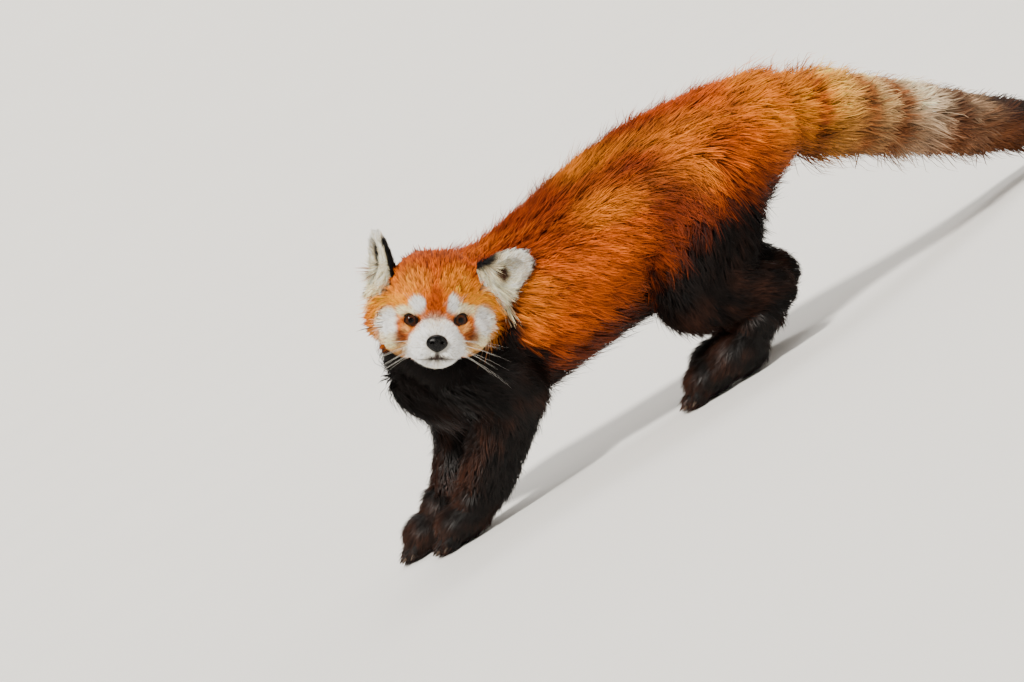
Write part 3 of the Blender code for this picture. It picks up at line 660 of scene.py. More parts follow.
def tail_colours(points, normals):
    """Pale and red rings, browner towards a dark tip, with painted shade below."""
    far = tail_distance(points) + waves(points, 40, 10) * 2.5 + waves(points, 9, 14) * 1.5
    tones = np.stack([looked_up(TAIL_TONES, far, k) for k in range(1, 7)], axis=1)
    return painted(tones[:, :3], (
        (tones[:, 3:], looked_up(TAIL_RINGS, far)),
        # Painted shade where the tail's hair faces down
        (TAIL_UNDERSIDE_SHADE, ease(normals[:, 2], 0.1, -0.8) * 0.75),
    ))


def pale_streak(points):
    """Where pale hair runs from the foot of the ear down behind the cheek."""
    h = to_head(points)
    seen = np.stack((np.abs(h[:, 1]), h[:, 2]), axis=1)
    far, _ = segment_distances(seen, *np.array(STREAK))
    return ease(far + waves(h, 9, 12) * 0.8, 6, 2) * ease(h[:, 0], -70, -50)


def markings(points, normals, ears=True):
    """The colour of the skin and coat at each place, linear, with its painted light and shade. Hair that
    only passes an ear isn't of it.
    """
    colour = painted(body_colours(points, normals), (
        (tail_colours(points, normals), ease(points[:, 0], -428, -452)),
        (face_colours(to_head(points)), head_share(points)),
        (CREAM, pale_streak(points) * 0.85),
    ))
    return ear_colours(points, normals, colour) if ears else colour


def placed(name, data):
    """A new object in the scene for a mesh, a camera or a light."""
    obj = bpy.data.objects.new(name, data)
    bpy.context.scene.collection.objects.link(obj)
    return obj


def mesh_object(name, verts, faces):
    mesh = bpy.data.meshes.new(name)
    mesh.from_pydata([Vector(v) * MM for v in verts], [], faces)
    return placed(name, mesh)


def moved(obj, offset, turn=Matrix.Identity(3)):
    """Turns a piece about the origin and then carries it by an offset."""
    obj.data.transform(turn.to_4x4())
    obj.data.transform(Matrix.Translation(offset))
    return obj


def circle(sides):
    return [(math.cos(2 * math.pi * k / sides), math.sin(2 * math.pi * k / sides)) for k in range(sides)]


def tube_faces(rings, sides, first=0):
    """Faces between neighbouring rings of points, counted from the first point of the first ring."""
    faces = []
    for a in range(first, first + (rings - 1) * sides, sides):
        for k in range(sides):
            n = (k + 1) % sides
            faces.append((a + k, a + sides + k, a + sides + n, a + n))
    return faces


def smooth_stations(stations, steps):
    """Stations on a smooth line through the given ones, steps to each span."""
    rows = [Vector(s) for s in stations]
    rows = [rows[0] * 2 - rows[1]] + rows + [rows[-1] * 2 - rows[-2]]
    found = []
    for a, b, c, d in zip(rows, rows[1:], rows[2:], rows[3:]):
        for k in range(steps):
            t = k / steps
            line = b * 2 + (c - a) * t
            bend = (a * 2 - b * 5 + c * 4 - d) * t**2 + (b * 3 - a - c * 3 + d) * t**3
            found.append((line + bend) / 2)
    return found + [rows[-2]]


def loft(name, stations, reference, sides=28, steps=6):
    """A closed tube through elliptical sections, whose last half size lies along the reference axis."""
    rows = smooth_stations(stations, steps)
    centres = [Vector(r[:3]) for r in rows]
    last = len(rows) - 1
    verts = []
    for i, row in enumerate(rows):
        along = (centres[min(i + 1, last)] - centres[max(i - 1, 0)]).normalized()
        b = (reference - along * reference.dot(along)).normalized()
        a = along.cross(b)
        verts += [centres[i] + a * row[3] * c + b * row[4] * s for c, s in circle(sides)]
    start = tuple(range(sides))
    end = tuple(last * sides + k for k in start)[::-1]
    return mesh_object(name, verts, [start, *tube_faces(len(rows), sides), end])


def revolved(name, profile, sides, closed=True):
    """A surface round the x axis from (x, radius) rings, with a point on the axis at its start, and
    at its end where it is closed."""
    rings = profile[1:-1] if closed else profile[1:]
    verts = [(profile[0][0], 0, 0)]
    for x, radius in rings:
        verts += [(x, radius * c, radius * s) for c, s in circle(sides)]
    faces = [(0, 1 + k, 1 + (k + 1) % sides) for k in range(sides)]
    faces += tube_faces(len(rings), sides, 1)
    if closed:
        last = len(verts)
        faces += [(last, last - sides + (k + 1) % sides, last - sides + k) for k in range(sides)]
        verts.append((profile[-1][0], 0, 0))
    obj = mesh_object(name, verts, faces)
    obj.data.shade_smooth()
    return obj


def thinner(stations, share):
    return [(x, y, z, a * share, b * share) for x, y, z, a, b in stations]


def ellipsoid(name, centre, radii, turn=Matrix.Identity(3), segments=32):
    bpy.ops.mesh.primitive_uv_sphere_add(segments=segments, ring_count=segments // 2, radius=1)
    obj = bpy.context.active_object
    obj.name = name
    return moved(obj, Vector(centre) * MM, turn @ Matrix.Diagonal(Vector(radii) * MM))


def on_side(at, side):
    """A place on the left for 1, or its mirror image on the right for -1."""
    return Vector((at[0], side * at[1], at[2]))


def mirror_pair(name, at, radii, segments=24):
    return [ellipsoid(name, on_side(at, side), radii, segments=segments) for side in (1, -1)]


def baked(obj):
    """Turns the modifiers of an object into its mesh."""
    graph = bpy.context.evaluated_depsgraph_get()
    mesh = bpy.data.meshes.new_from_object(obj.evaluated_get(graph))
    obj.modifiers.clear()
    obj.data = mesh
    return obj


def joined(name, pieces):
    built = bmesh.new()
    for piece in pieces:
        built.from_mesh(piece.data)
        bpy.data.objects.remove(piece)
    mesh = bpy.data.meshes.new(name)
    built.to_mesh(mesh)
    built.free()
    return placed(name, mesh)


def remeshed(obj, step):
    remesh = obj.modifiers.new("fuse", "REMESH")
    remesh.mode = "VOXEL"
    remesh.voxel_size = step * MM
    return baked(obj)


def softened(obj, rounds):
    smooth = obj.modifiers.new("soften", "SMOOTH")
    smooth.factor = 0.5
    smooth.iterations = rounds
    return baked(obj)


def fused(name, pieces, step, rounds):
    """One smooth closed skin round overlapping pieces."""
    return softened(remeshed(joined(name, pieces), step), rounds)


def combined(obj, operation, others):
    """One solid from an object and all the others, which are then removed."""
    tools = bpy.data.collections.new("tools")
    for other in others:
        tools.objects.link(other)
    boolean = obj.modifiers.new("join", "BOOLEAN")
    boolean.operation = operation
    boolean.operand_type = "COLLECTION"
    boolean.collection = tools
    boolean.solver = "MANIFOLD"
    baked(obj)
    for other in others:
        bpy.data.objects.remove(other)
    bpy.data.collections.remove(tools)
    return obj


def in_stance(obj):
    """Carries a piece from the head's frame to the stance frame."""
    return moved(obj, HEAD_AT * MM, HEAD_TURN)


def toe_places(centre):
    """Where each toe of a paw sits on its fan, with the fan's turn."""
    for k in range(-2, 3):
        turn = k * TOE_FAN
        reach = TOE_REACH - TOE_DROP * k * k
        yield centre + reach * Vector((math.cos(turn), math.sin(turn), 0)), Matrix.Rotation(turn, 3, "Z")


def limb(name, stations):
    """A tapered limb with a ball at each end."""
    rows = thinner(stations, SKIN_SHARE[name.split("_")[0]])
    pieces = [loft("limb", rows, LEFT)]
    for x, y, z, depth, width in (rows[0], rows[-1]):
        pieces.append(ellipsoid("joint", (x, y, z), (depth, width, depth)))
    return pieces


def paw(name):
    """The balls and toes of one paw, drawn in by the thickness of the coat."""
    balls, centre, side = PAWS[name]
    pieces = []
    for at, radii in balls:
        size = [r - PAW_COAT for r in radii]
        pieces.append(ellipsoid(name, centre + on_side(at, side), size))
    for at, spin in toe_places(centre):
        size = TOE_SIZE - Vector((PAW_COAT, PAW_COAT * 0.6, PAW_COAT * 0.6))
        pieces.append(ellipsoid("toe", at + UP * TOE_HEIGHT, size, spin))
    return pieces


def body_skin():
    pieces = [
        loft("torso", thinner(TORSO, SKIN_SHARE["torso"]), UP),
        loft("neck", thinner(NECK, SKIN_SHARE["neck"]), UP),
        loft("tail", [*thinner(TAIL[:-1], SKIN_SHARE["tail"]), TAIL_SKIN_END], UP),
    ]
    for name, stations in LIMBS.items():
        pieces += limb(name, stations)
    body = fused("skin", pieces, *BODY_FUSE)
    paws = [piece for name in PAWS for piece in paw(name)]
    return body, fused("paws", paws, *PAW_FUSE)


def lid(side):
    """A soft ring of lid round one eye."""
    look = Matrix.Rotation(side * EYE_OUTWARD, 3, "Z")
    bpy.ops.mesh.primitive_torus_add(
        major_radius=LID_RADIUS * MM,
        minor_radius=LID_THICKNESS * MM,
        major_segments=40,
        minor_segments=14,
    )
    stand = Matrix.Rotation(math.radians(90), 3, "Y")
    at = on_side(EYE_AT, side) + look @ LID_FORWARD
    return moved(bpy.context.active_object, at * MM, look @ Matrix.Diagonal(LID_FLATTENED) @ stand)


def ear(name):
    """A rounded flap with a hollow cup on the side that it faces."""
    foot, tip, facing = EARS[name]
    along = tip - foot
    facing = (facing - along * (facing.dot(along) / along.length_squared)).normalized()
    across = along.cross(facing).normalized()
    rows = [(*(foot + along * t), thick, wide) for t, thick, wide in EAR_SHAPE]
    flap = fused(name, [loft(name, rows, across)], *EAR_FUSE)
    turn = Matrix((facing, across, along.normalized())).transposed()
    middle = foot + along * EAR_CUP_ALONG + facing * EAR_CUP_FORWARD
    return combined(flap, "DIFFERENCE", [ellipsoid("cup", middle, EAR_CUP, turn)])


def mouth(muzzle):
    """A thin tube that follows the surface along the line of the mouth, from corner to corner."""
    half = [Vector(p) for p in MOUTH]
    points = half + [on_side(p, -1) for p in half[-2::-1]]
    rows = []
    for point in points:
        _, at, _, _ = muzzle.closest_point_on_mesh(point * MM)
        rows.append((*(at / MM), MOUTH_RADIUS, MOUTH_RADIUS))
    return loft("mouth", rows, UP, sides=8, steps=4)


def head_skin():
    pieces = [ellipsoid("skull", centre, radii) for centre, radii in SKULL]
    pieces.append(loft("muzzle", MUZZLE, LEFT, sides=32))
    pieces += [lid(1), lid(-1)]
    head = fused("head", pieces, *HEAD_FUSE)
    combined(head, "UNION", [ear(name) for name in EARS])
    combined(head, "DIFFERENCE", [mouth(head)])
    combined(head, "DIFFERENCE", mirror_pair("socket", EYE_AT, [SOCKET_RADIUS] * 3, 40))
    return in_stance(head)


def floor_block():
    """All that is below the floor."""
    bpy.ops.mesh.primitive_cube_add(size=2, location=(0, 0, 0))
    return moved(bpy.context.active_object, (0, 0, -1))


def make_skin():
    """The whole skin, cut flat at the floor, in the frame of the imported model."""
    skin, paws = body_skin()
    combined(skin, "UNION", [paws, head_skin()])
    combined(skin, "DIFFERENCE", [floor_block()])
    built = bmesh.new()
    built.from_mesh(skin.data)
    built.faces.ensure_lookup_table()
    seams = sorted(built.faces[STEADY_FACES:], key=lambda face: sorted(v.index for v in face.verts))
    for k, face in enumerate(seams):
        face.index = STEADY_FACES + k
    built.faces.sort()
    bmesh.ops.triangulate(built, faces=built.faces)
    built.to_mesh(skin.data)
    built.free()
    moved(skin, SHIFT)
    skin.data.shade_smooth()
    return skin


def unwrap(obj):
    """An unwrap of the skin's own shape, for the skin and for the roots of its coat."""
    obj.data.uv_layers.new(name="OFBake")
    bpy.context.view_layer.objects.active = obj
    obj.select_set(True)
    bpy.ops.object.mode_set(mode="EDIT")
    bpy.ops.mesh.select_all(action="SELECT")
    bpy.ops.uv.smart_project(angle_limit=math.radians(66), island_margin=0.002)
    bpy.ops.object.mode_set(mode="OBJECT")
    obj.select_set(False)


def rows_of(items, key, width, kind=float):
    """One property of all the items of a mesh, a row for each."""
    found = np.empty(len(items) * width, kind)
    items.foreach_get(key, found)
    return found.reshape(-1, width)


class Surface:
    """The skin's triangles as arrays: corners in the stance frame in millimetres."""

    def __init__(self, obj):
        mesh = obj.data
        mesh.calc_loop_triangles()
        self.faces = rows_of(mesh.loop_triangles, "vertices", 3, np.int32)
        loops = rows_of(mesh.loop_triangles, "loops", 3, np.int32)
        self.verts = (rows_of(mesh.vertices, "co", 3) - np.array(SHIFT)) / MM
        self.normals = rows_of(mesh.vertices, "normal", 3)
        self.uvs = rows_of(mesh.uv_layers["OFBake"].uv, "vector", 2)[loops]
        corners = self.verts[self.faces]
        a, b, c = corners.transpose(1, 0, 2)
        self.middles = corners.mean(axis=1)
        self.areas = np.linalg.norm(np.cross(b - a, c - a), axis=1) / 2
        self.face_normals = unit(self.normals[self.faces].mean(axis=1))
        self.tree = BVHTree.FromPolygons(self.verts.tolist(), self.faces.tolist(), all_triangles=True)

    def sample(self, weights, count, chance):
        """Points spread over the triangles by weight: places, normals and places on the unwrap."""
        shares = self.areas * weights
        picked = chance.choice(len(shares), count, p=shares / shares.sum())
        a, b = chance.random(count), chance.random(count)
        over = a + b > 1
        a[over], b[over] = 1 - a[over], 1 - b[over]
        mix = np.stack((1 - a - b, a, b), axis=1)[:, :, None]
        corners = self.faces[picked]
        return (
            (self.verts[corners] * mix).sum(axis=1),
            unit((self.normals[corners] * mix).sum(axis=1)),
            (self.uvs[picked] * mix).sum(axis=1),
        )

    def nearest(self, points):
        """The skin's nearest point and normal for each point."""
        places = np.empty_like(points)
        normals = np.empty_like(points)
        for k, point in enumerate(points.tolist()):
            places[k], normals[k], _, _ = self.tree.find_nearest(point)
        return places, normals


def bones():
    """The lie of the coat: kind of each segment, its ends, its size and the way that hair lies on it."""
    rows = []

    def add(kind, stations, sign=1, bend=(0, 0, 0)):
        for a, b in zip(stations, stations[1:]):
            start, end = np.array(a[:3], float), np.array(b[:3], float)
            size = (a[3] + a[4] + b[3] + b[4]) / 4
            way = sign * (end - start) / np.linalg.norm(end - start) + np.array(bend)
            rows.append((kind, start, end, size, way / np.linalg.norm(way)))

    add("torso", TORSO)
    add("neck", NECK, -1, (-0.3, 0, -0.5))
    add("tail", TAIL)
    for name, stations in LIMBS.items():
        add(name.split("_")[0], stations, 1, (-0.25, 0, 0))
    for balls, centre, side in PAWS.values():
        line = (balls[-1][0], balls[0][0], (TOE_REACH, 0, TOE_HEIGHT))
        line = [(*(centre + on_side(at, side)), *PAW_BONE_SIZE) for at in line]
        add("paw", line, 1, (0, 0, -0.2))
    return rows


BONES = bones()


def bone_shares(points):
    """For each point, the share that every segment has in its coat."""
    far = np.empty((len(points), len(BONES)))
    for k, (_, start, end, size, _) in enumerate(BONES):
        distance, _ = segment_distances(points, start, end)
        far[:, k] = distance / size
    weights = np.exp(-6 * (far - far.min(axis=1, keepdims=True)))
    return weights / weights.sum(axis=1, keepdims=True)


def body_coat(points, normals):
    """The coat of all but the head: its way, then its length, height of its tips and half width."""
    weights = bone_shares(points)
    ways = weights @ np.array([row[4] for row in BONES])
    sizes = weights @ np.array([COATS[row[0]] for row in BONES])
    torso = weights @ np.array([row[0] in ("torso", "neck") for row in BONES], float)
    upward = normals[:, 2]
    ways[:, 2] -= torso * 0.9 * np.clip(1 - upward, 0, 1)
    far = tail_distance(points)
    tail = ease(points[:, 0], -440, -470)
    top = ease(upward, -0.2, 0.6)
    heights = looked_up(TAIL_COAT, far, 2) * (1 - top) + looked_up(TAIL_COAT, far, 3) * top
    sizes[:, 0] *= 1 + (looked_up(TAIL_COAT, far) - 1) * tail
    sizes[:, 1] *= 1 + (heights - 1) * tail
    sizes[:, 1] += RUMP_RISE * top * ease(np.abs(points[:, 0] - RUMP_AT) / RUMP_REACH, 1.35, 0.65)
    sizes[:, 0] *= 1 + 0.5 * tail * ease(upward, -0.2, -0.8)
    sizes[:, 0] *= 1 + 0.15 * torso * ease(upward, 0, -0.8)
    return ways, sizes


def head_coat(h):
    """The same for the head, in its own frame."""
    x, y, z = h.T
    side = np.abs(y)
    cheek = ease(side, 32, 50) * ease(z, 34, 20)
    fringe = ease(side, 34, 48) * ease(z, 2, 16) * ease(x, -62, -46) * ease(x, 6, -8)
    sizes = blended((
        np.ones(len(h)),
        ease(z, 14, 44),
        cheek,
        cheek * ease(side, 36, 54),
        cheek * ease(side, 46, 54),
        ease(x, -20, -56),
        ease(x, 6, -16),
    ), HEAD_COAT)
    sizes[:, :2] += (np.array(FRINGE) - sizes[:, :2]) * fringe[:, None]
    bends = blended((cheek, ease(x, -10, -50), ease(x, -30, -60), fringe), HEAD_BENDS)
    bends[:, 1] *= np.sign(y)
    return unit(h - np.array(WHORL)) + bends, sizes


def coat_at(points, normals):
    """How the coat grows at each place: its way, then its length, height of its tips and half width."""
    ways, sizes = body_coat(points, normals)
    h = to_head(points)
    head_ways, head_sizes = head_coat(h)
    head = head_share(points)[:, None]
    ways = ways * (1 - head) + head_ways @ TURN.T * head
    sizes = sizes * (1 - head) + head_sizes * head
    share, which = ear_share(points)
    for foot, along, length, _, _ in ear_frames():
        from_ear, _ = segment_distances(h, foot, foot + along * length * 0.4)
        near = ease(from_ear, 30, 16) * head[:, 0] * ease(h[:, 2], foot[2] - 2, foot[2] + 6)
        sizes[:, :2] *= 1 - (0.5 * near)[:, None]
    for k, (foot, along, _, across, front) in enumerate(ear_frames()):
        on = (share >= 0) & (which == k)
        fan = ((h[on] - foot) @ across)[:, None] * across / EAR_FAN
        ahead = normals[on] @ TURN @ front
        edge = ease(np.abs(ahead), 0.6, 0.2)
        low = ease(share[on], 0.5, 0.25) * ease(ahead, -0.3, 0.4)
        drop = np.array((0, math.copysign(0.7, foot[1]), -1)) - along
        ways[on] = (along + fan + drop * low[:, None]) @ TURN.T
        sizes[on] = blended((np.ones(len(low)), edge, low), EAR_COAT)
    ways -= (ways * normals).sum(axis=1, keepdims=True) * normals
    return unit(ways), sizes


def turned(ways, normals, angles):
    """The ways, turned about the normals."""
    c, s = np.cos(angles)[:, None], np.sin(angles)[:, None]
    return ways * c + np.cross(normals, ways) * s


def varied(chance, count, middle, spread, least, most):
    return np.clip(chance.normal(middle, spread, count), least, most)


def grow(name, surface, weights, count, rings, seed, clump, clump_of, hug, sway, uneven):
    """A piece of coat: tufts on the skin's triangles by weight, gathered into clumps."""
    chance = np.random.default_rng(seed)
    roots, normals, uvs = surface.sample(weights, count, chance)
    ways, sizes = coat_at(roots, normals)
    clumps = max(1, count // clump_of)
    tree = KDTree(clumps)
    for k in range(clumps):
        tree.insert(roots[k], k)
    tree.balance()
    own = np.array([tree.find(p)[1] for p in roots.tolist()])
    clump_sway = chance.normal(0, sway, clumps)[own]
    clump_length = chance.normal(1, uneven * 0.6, clumps)[own]
    ways = turned(ways, normals, clump_sway + chance.normal(0, sway * 0.6, count))
    length = sizes[:, 0] * np.clip(clump_length + chance.normal(0, uneven, count), *LENGTH_LIMITS)
    rise = sizes[:, 1] * varied(chance, count, *RISE_RANGE)
    half = sizes[:, 2] * varied(chance, count, *WIDTH_RANGE)
    stray = chance.random(count) < STRAY_SHARE
    rise[stray] *= STRAY_RISE
    half[stray] *= STRAY_WIDTH
    forward = np.sqrt(np.maximum(length**2 - rise**2, (0.3 * length) ** 2))
    tips = roots + ways * forward[:, None]
    lift = normals
    if hug:
        places, facing = surface.nearest(tips)
        tips += (places - tips) * hug
        lift = unit(facing * hug + normals * (1 - hug))
    tips += lift * rise[:, None]
    middles = roots + (tips - roots) * 0.5 + normals * (rise * 0.42)[:, None]
    gather = clump * chance.uniform(0.5, 1.3, count)[:, None]
    tips += (tips[own] - tips) * gather
    middles += (middles[own] - middles) * gather * 0.35
    roots_in = roots - normals * SUNK * np.minimum(1, sizes[:, 2:3])
    near, *colours = (
        markings(roots + (tips - roots) * t, normals, name == "coat_ears")
        for t in (COLOUR_AT, *(0.1 + 0.8 * ring[0] for ring in rings), 0.9)
    )
    own_share = OWN_SHARE.get(name, 0.5)
    tone = 1 + chance.normal(0, TONE_SPREAD, count) + 0.12 * clump_length
    tone *= chance.normal(1, CLUMP_TONE_SPREAD, clumps)[own]
    colours = [np.clip((near + (c - near) * own_share) * tone[:, None], 0.0015, 0.95) for c in colours]
    return tuft_mesh(name, roots_in, middles, tips, normals, half, colours, uvs, rings)


def tuft_faces(rings):
    """The triangles of one tuft: closed at its root, then rings of three corners up to its tip."""
    last = 3 * rings - 3
    faces = [(0, 1, 2)]
    for i in range(0, last, 3):
        for k in range(3):
            n = (k + 1) % 3
            faces += [(i + k, i + 3 + k, i + 3 + n), (i + k, i + 3 + n, i + n)]
    return faces + [(last + k, last + 3, last + (k + 1) % 3) for k in range(3)]


def tuft_mesh(name, roots, middles, tips, normals, half, colours, uvs, rings):
    """Tufts that bend from root to tip, each corner with its place, shading, colour and unwrap."""
    corners = []
    for (t, share), colour in zip(rings, colours):
        # Darker towards the root: partly the darker underfur and partly painted shade deep in the coat
        underfur_and_shade = (0.35 + 0.75 * t) ** (1 - 0.6 * colour.min(axis=1, keepdims=True))
        at = roots * (1 - t) ** 2 + middles * 2 * t * (1 - t) + tips * t * t
        along = unit((middles - roots) * (1 - t) + (tips - middles) * t)
        side = unit(np.cross(along, normals))
        above = np.cross(side, along)
        wide = side * (half * share)[:, None]
        high = above * (half * share * FLATNESS)[:, None]
        for k, (a, b) in enumerate(((1, -0.5), (0, 1), (-1, -0.5))):
            out = wide * a + high * b
            facing = unit(normals * SOFTNESS + above * 0.3 + unit(out) * (1 - SOFTNESS))
            patch = uvs + np.array(((k - 1) * PATCH / 2, (t - 0.5) * PATCH))
            corners.append((at + out, facing, colour * underfur_and_shade, patch))
    end = colours[-1]
    # The tip is paler: partly the hair's own paler tips and partly a painted highlight
    pale = end * 1.35 + end[:, :1] * np.array((0.02, 0.03, 0.002))
    corners.append((tips, unit(normals + above * 0.4), pale, uvs + np.array((0, PATCH / 2))))
    verts, shades, tints, places = (
        np.stack(column, axis=1).reshape(-1, column[0].shape[1]) for column in zip(*corners)
    )
    verts = verts * MM + np.array(SHIFT)
    verts[:, 2] = np.maximum(verts[:, 2], FLOOR_GAP)
    first = np.arange(len(roots))[:, None, None] * len(corners)
    faces = (np.array(tuft_faces(len(rings)))[None] + first).reshape(-1, 3)
    return tuft_object(name, verts, faces, shades, np.clip(tints, 0, 1), places)


def tuft_object(name, verts, faces, shades, tints, places):
    mesh = bpy.data.meshes.new(name)
    mesh.vertices.add(len(verts))
    mesh.vertices.foreach_set("co", verts.ravel())
    mesh.loops.add(faces.size)
    mesh.loops.foreach_set("vertex_index", faces.ravel().astype(np.int32))
    mesh.polygons.add(len(faces))
    mesh.polygons.foreach_set("loop_start", np.arange(0, faces.size, 3, dtype=np.int32))
    mesh.update()
    mesh.validate()
    layer = mesh.uv_layers.new(name="OFBake")
    layer.uv.foreach_set("vector", places[faces.ravel()].ravel())
    store_colour(mesh, tints)
    mesh.shade_smooth()
    mesh.normals_split_custom_set_from_vertices(shades)
    return placed(name, mesh)


def store_colour(mesh, tints):
    attribute = mesh.attributes.new("coat_colour", "FLOAT_COLOR", "POINT")
    values = np.ones((len(tints), 4), np.float32)
    values[:, :3] = tints
    attribute.data.foreach_set("color", values.ravel())


def new_material(name, **values):
    """A material with those values on its shader, and what is needed to add to it."""
    material = bpy.data.materials.new(name)
    material.use_nodes = True
    tree = material.node_tree
    shader = tree.nodes["Principled BSDF"]
    for key, value in values.items():
        shader.inputs[key.replace("_", " ")].default_value = value
    return material, tree, shader.inputs


def node(tree, kind, **inputs):
    """A node whose inputs are fixed values, or the outputs of other nodes."""
    found = tree.nodes.new(kind)
    for key, value in inputs.items():
        socket = found.inputs[key.replace("_", " ")]
        if isinstance(value, bpy.types.NodeSocket):
            tree.links.new(value, socket)
        else:
            socket.default_value = value
    return found


def on_object(tree, kind, **inputs):
    """A texture that stays with the object."""
    place = tree.nodes.new("ShaderNodeTexCoord").outputs["Object"]
    return node(tree, kind, Vector=place, **inputs)


def noise(tree, scale, detail=2.0):
    return on_object(tree, "ShaderNodeTexNoise", Scale=scale, Detail=detail).outputs["Fac"]


def stored(tree, name, output):
    attribute = tree.nodes.new("ShaderNodeAttribute")
    attribute.attribute_name = name
    return attribute.outputs[output]


def spread(tree, value, low, high):
    """The middle part of a noise, stretched to run from low to high."""
    limits = {"From_Min": 0.3, "From_Max": 0.7, "To_Min": low, "To_Max": high}
    return node(tree, "ShaderNodeMapRange", Value=value, **limits).outputs["Result"]


def scaled(tree, colour, factor):
    scale = tree.nodes.new("ShaderNodeVectorMath")
    scale.operation = "SCALE"
    tree.links.new(colour, scale.inputs[0])
    tree.links.new(factor, scale.inputs["Scale"])
    return scale.outputs["Vector"]


def ramped(tree, value, stops):
    """The colour at a value between stops of (place, colour)."""
    found = node(tree, "ShaderNodeValToRGB", Fac=value)
    elements = found.color_ramp.elements
    for element, (place, colour) in zip(elements, (stops[0], stops[-1])):
        element.position = place
        element.color = (*colour, 1)
    for place, colour in stops[1:-1]:
        elements.new(place).color = (*colour, 1)
    return found.outputs["Color"]


def relief(tree, height, strength, depth):
    """Bumps by a height, whose depth is in millimetres."""
    bumps = node(tree, "ShaderNodeBump", Strength=strength, Distance=depth * MM, Height=height)
    return bumps.outputs["Normal"]


def hair_material(name, roughness, gloss, vary, grain, bump):
    """Colour from the stored markings and painted light and shade, varied along the hair, with a fine grain
    in roughness and bump.
    """
    material, tree, inputs = new_material(name, Specular_IOR_Level=gloss)
    tone = spread(tree, noise(tree, 45.0, 3.0), 1 - vary, 1 + vary)
    fine = noise(tree, grain)
    colour = scaled(tree, stored(tree, "coat_colour", "Color"), tone)
    tree.links.new(colour, inputs["Base Color"])
    tree.links.new(spread(tree, fine, roughness - 0.1, roughness + 0.1), inputs["Roughness"])
    tree.links.new(relief(tree, fine, bump, 0.4), inputs["Normal"])
    return material


def leather_material(name, colour, roughness, scale, bump, gloss):
    """Mottled colour and gloss over a skin of fine cells."""
    material, tree, inputs = new_material(name, Specular_IOR_Level=gloss)
    cells = on_object(tree, "ShaderNodeTexVoronoi", Scale=scale)
    cells.feature = "DISTANCE_TO_EDGE"
    mottle = noise(tree, scale * 0.3, 4.0)
    tones = ((0.3, [c * 0.5 for c in colour]), (0.7, [c * 1.5 for c in colour]))
    tree.links.new(ramped(tree, mottle, tones), inputs["Base Color"])
    tree.links.new(spread(tree, mottle, roughness - 0.08, roughness + 0.1), inputs["Roughness"])
    tree.links.new(relief(tree, cells.outputs["Distance"], bump, 0.3), inputs["Normal"])
    return material


def plain_material(name, tones, scale, roughness):
    """A colour that varies softly between two tones."""
    material, tree, inputs = new_material(name, Roughness=roughness)
    tree.links.new(ramped(tree, noise(tree, scale), tones), inputs["Base Color"])
    return material


def dress(obj, material, slot, *nodes):
    obj.data.materials.clear()
    obj.data.materials.append(material)
    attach(obj, "root")
    if nodes:
        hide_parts(*nodes)
    return obj


def coat_places(surface):
    """For each piece of the coat, which of the skin's triangles it grows on."""
    middles, normals = surface.middles, surface.face_normals
    kinds = np.array([row[0] for row in BONES])[bone_shares(middles).argmax(axis=1)]
    h = to_head(middles)
    h[:, 1] = np.abs(h[:, 1])
    x, side, z = h.T
    bare = (np.linalg.norm(h - np.array(EYE_AT), axis=1) < EYE_RADIUS + 0.2) & (x > 3)
    bare |= (np.abs(z - looked_up(LIP_LINE, side)) < 1.2) & (x > 14)
    bare |= np.linalg.norm((h - np.array(NOSE_AT)) / (np.array(NOSE_SIZE) + 0.6), axis=1) < 1
    ears = ear_share(middles)[0] >= 0
    head = (head_share(middles) > 0.5) & ~ears
    face = head & (x > -18) & (z < 22) & (side < 42)

    def on_body(*names):
        return ~head & ~ears & np.isin(kinds, names)

    trunk = on_body("torso")
    limbs = on_body("thigh", "shank", "upper", "forearm")
    tail = on_body("tail")
    up = normals[:, 2] > 0.55
    down = normals[:, 2] < -0.45
    flank = trunk & ~up & ~down
    left = middles[:, 1] > 0
    hind = middles[:, 0] < MID_BODY
    base = tail_distance(middles) < TAIL_PARTED
    places = {
        "coat_face": face,
        "coat_crown_and_cheeks": head & ~face,
        "coat_ears": ears,
        "coat_neck": on_body("neck"),
        "coat_back": trunk & up,
        "coat_flank_left": flank & left,
        "coat_flank_right": flank & ~left,
        "coat_belly": trunk & down,
        "coat_forelegs": limbs & ~hind,
        "coat_hind_legs": limbs & hind,
        "coat_paws": on_body("paw") & (middles[:, 2] >= 1.0),
        "coat_tail_base": tail & base,
        "coat_tail_end": tail & ~base,
    }
    return {name: where & ~bare for name, where in places.items()}


def make_coat(surface):
    """All the pieces of the coat, named for where they grow."""
    places = coat_places(surface)
    soft, dark = hair_material(*SOFT_COAT), hair_material(*DARK_COAT)
    for k, (name, count, rings, slot, *growth) in enumerate(COAT_PIECES):
        piece = grow(name, surface, places[name], count, rings, SEED + k, *growth)
        dress(piece, dark if name in GLOSSY_COATS else soft, slot)


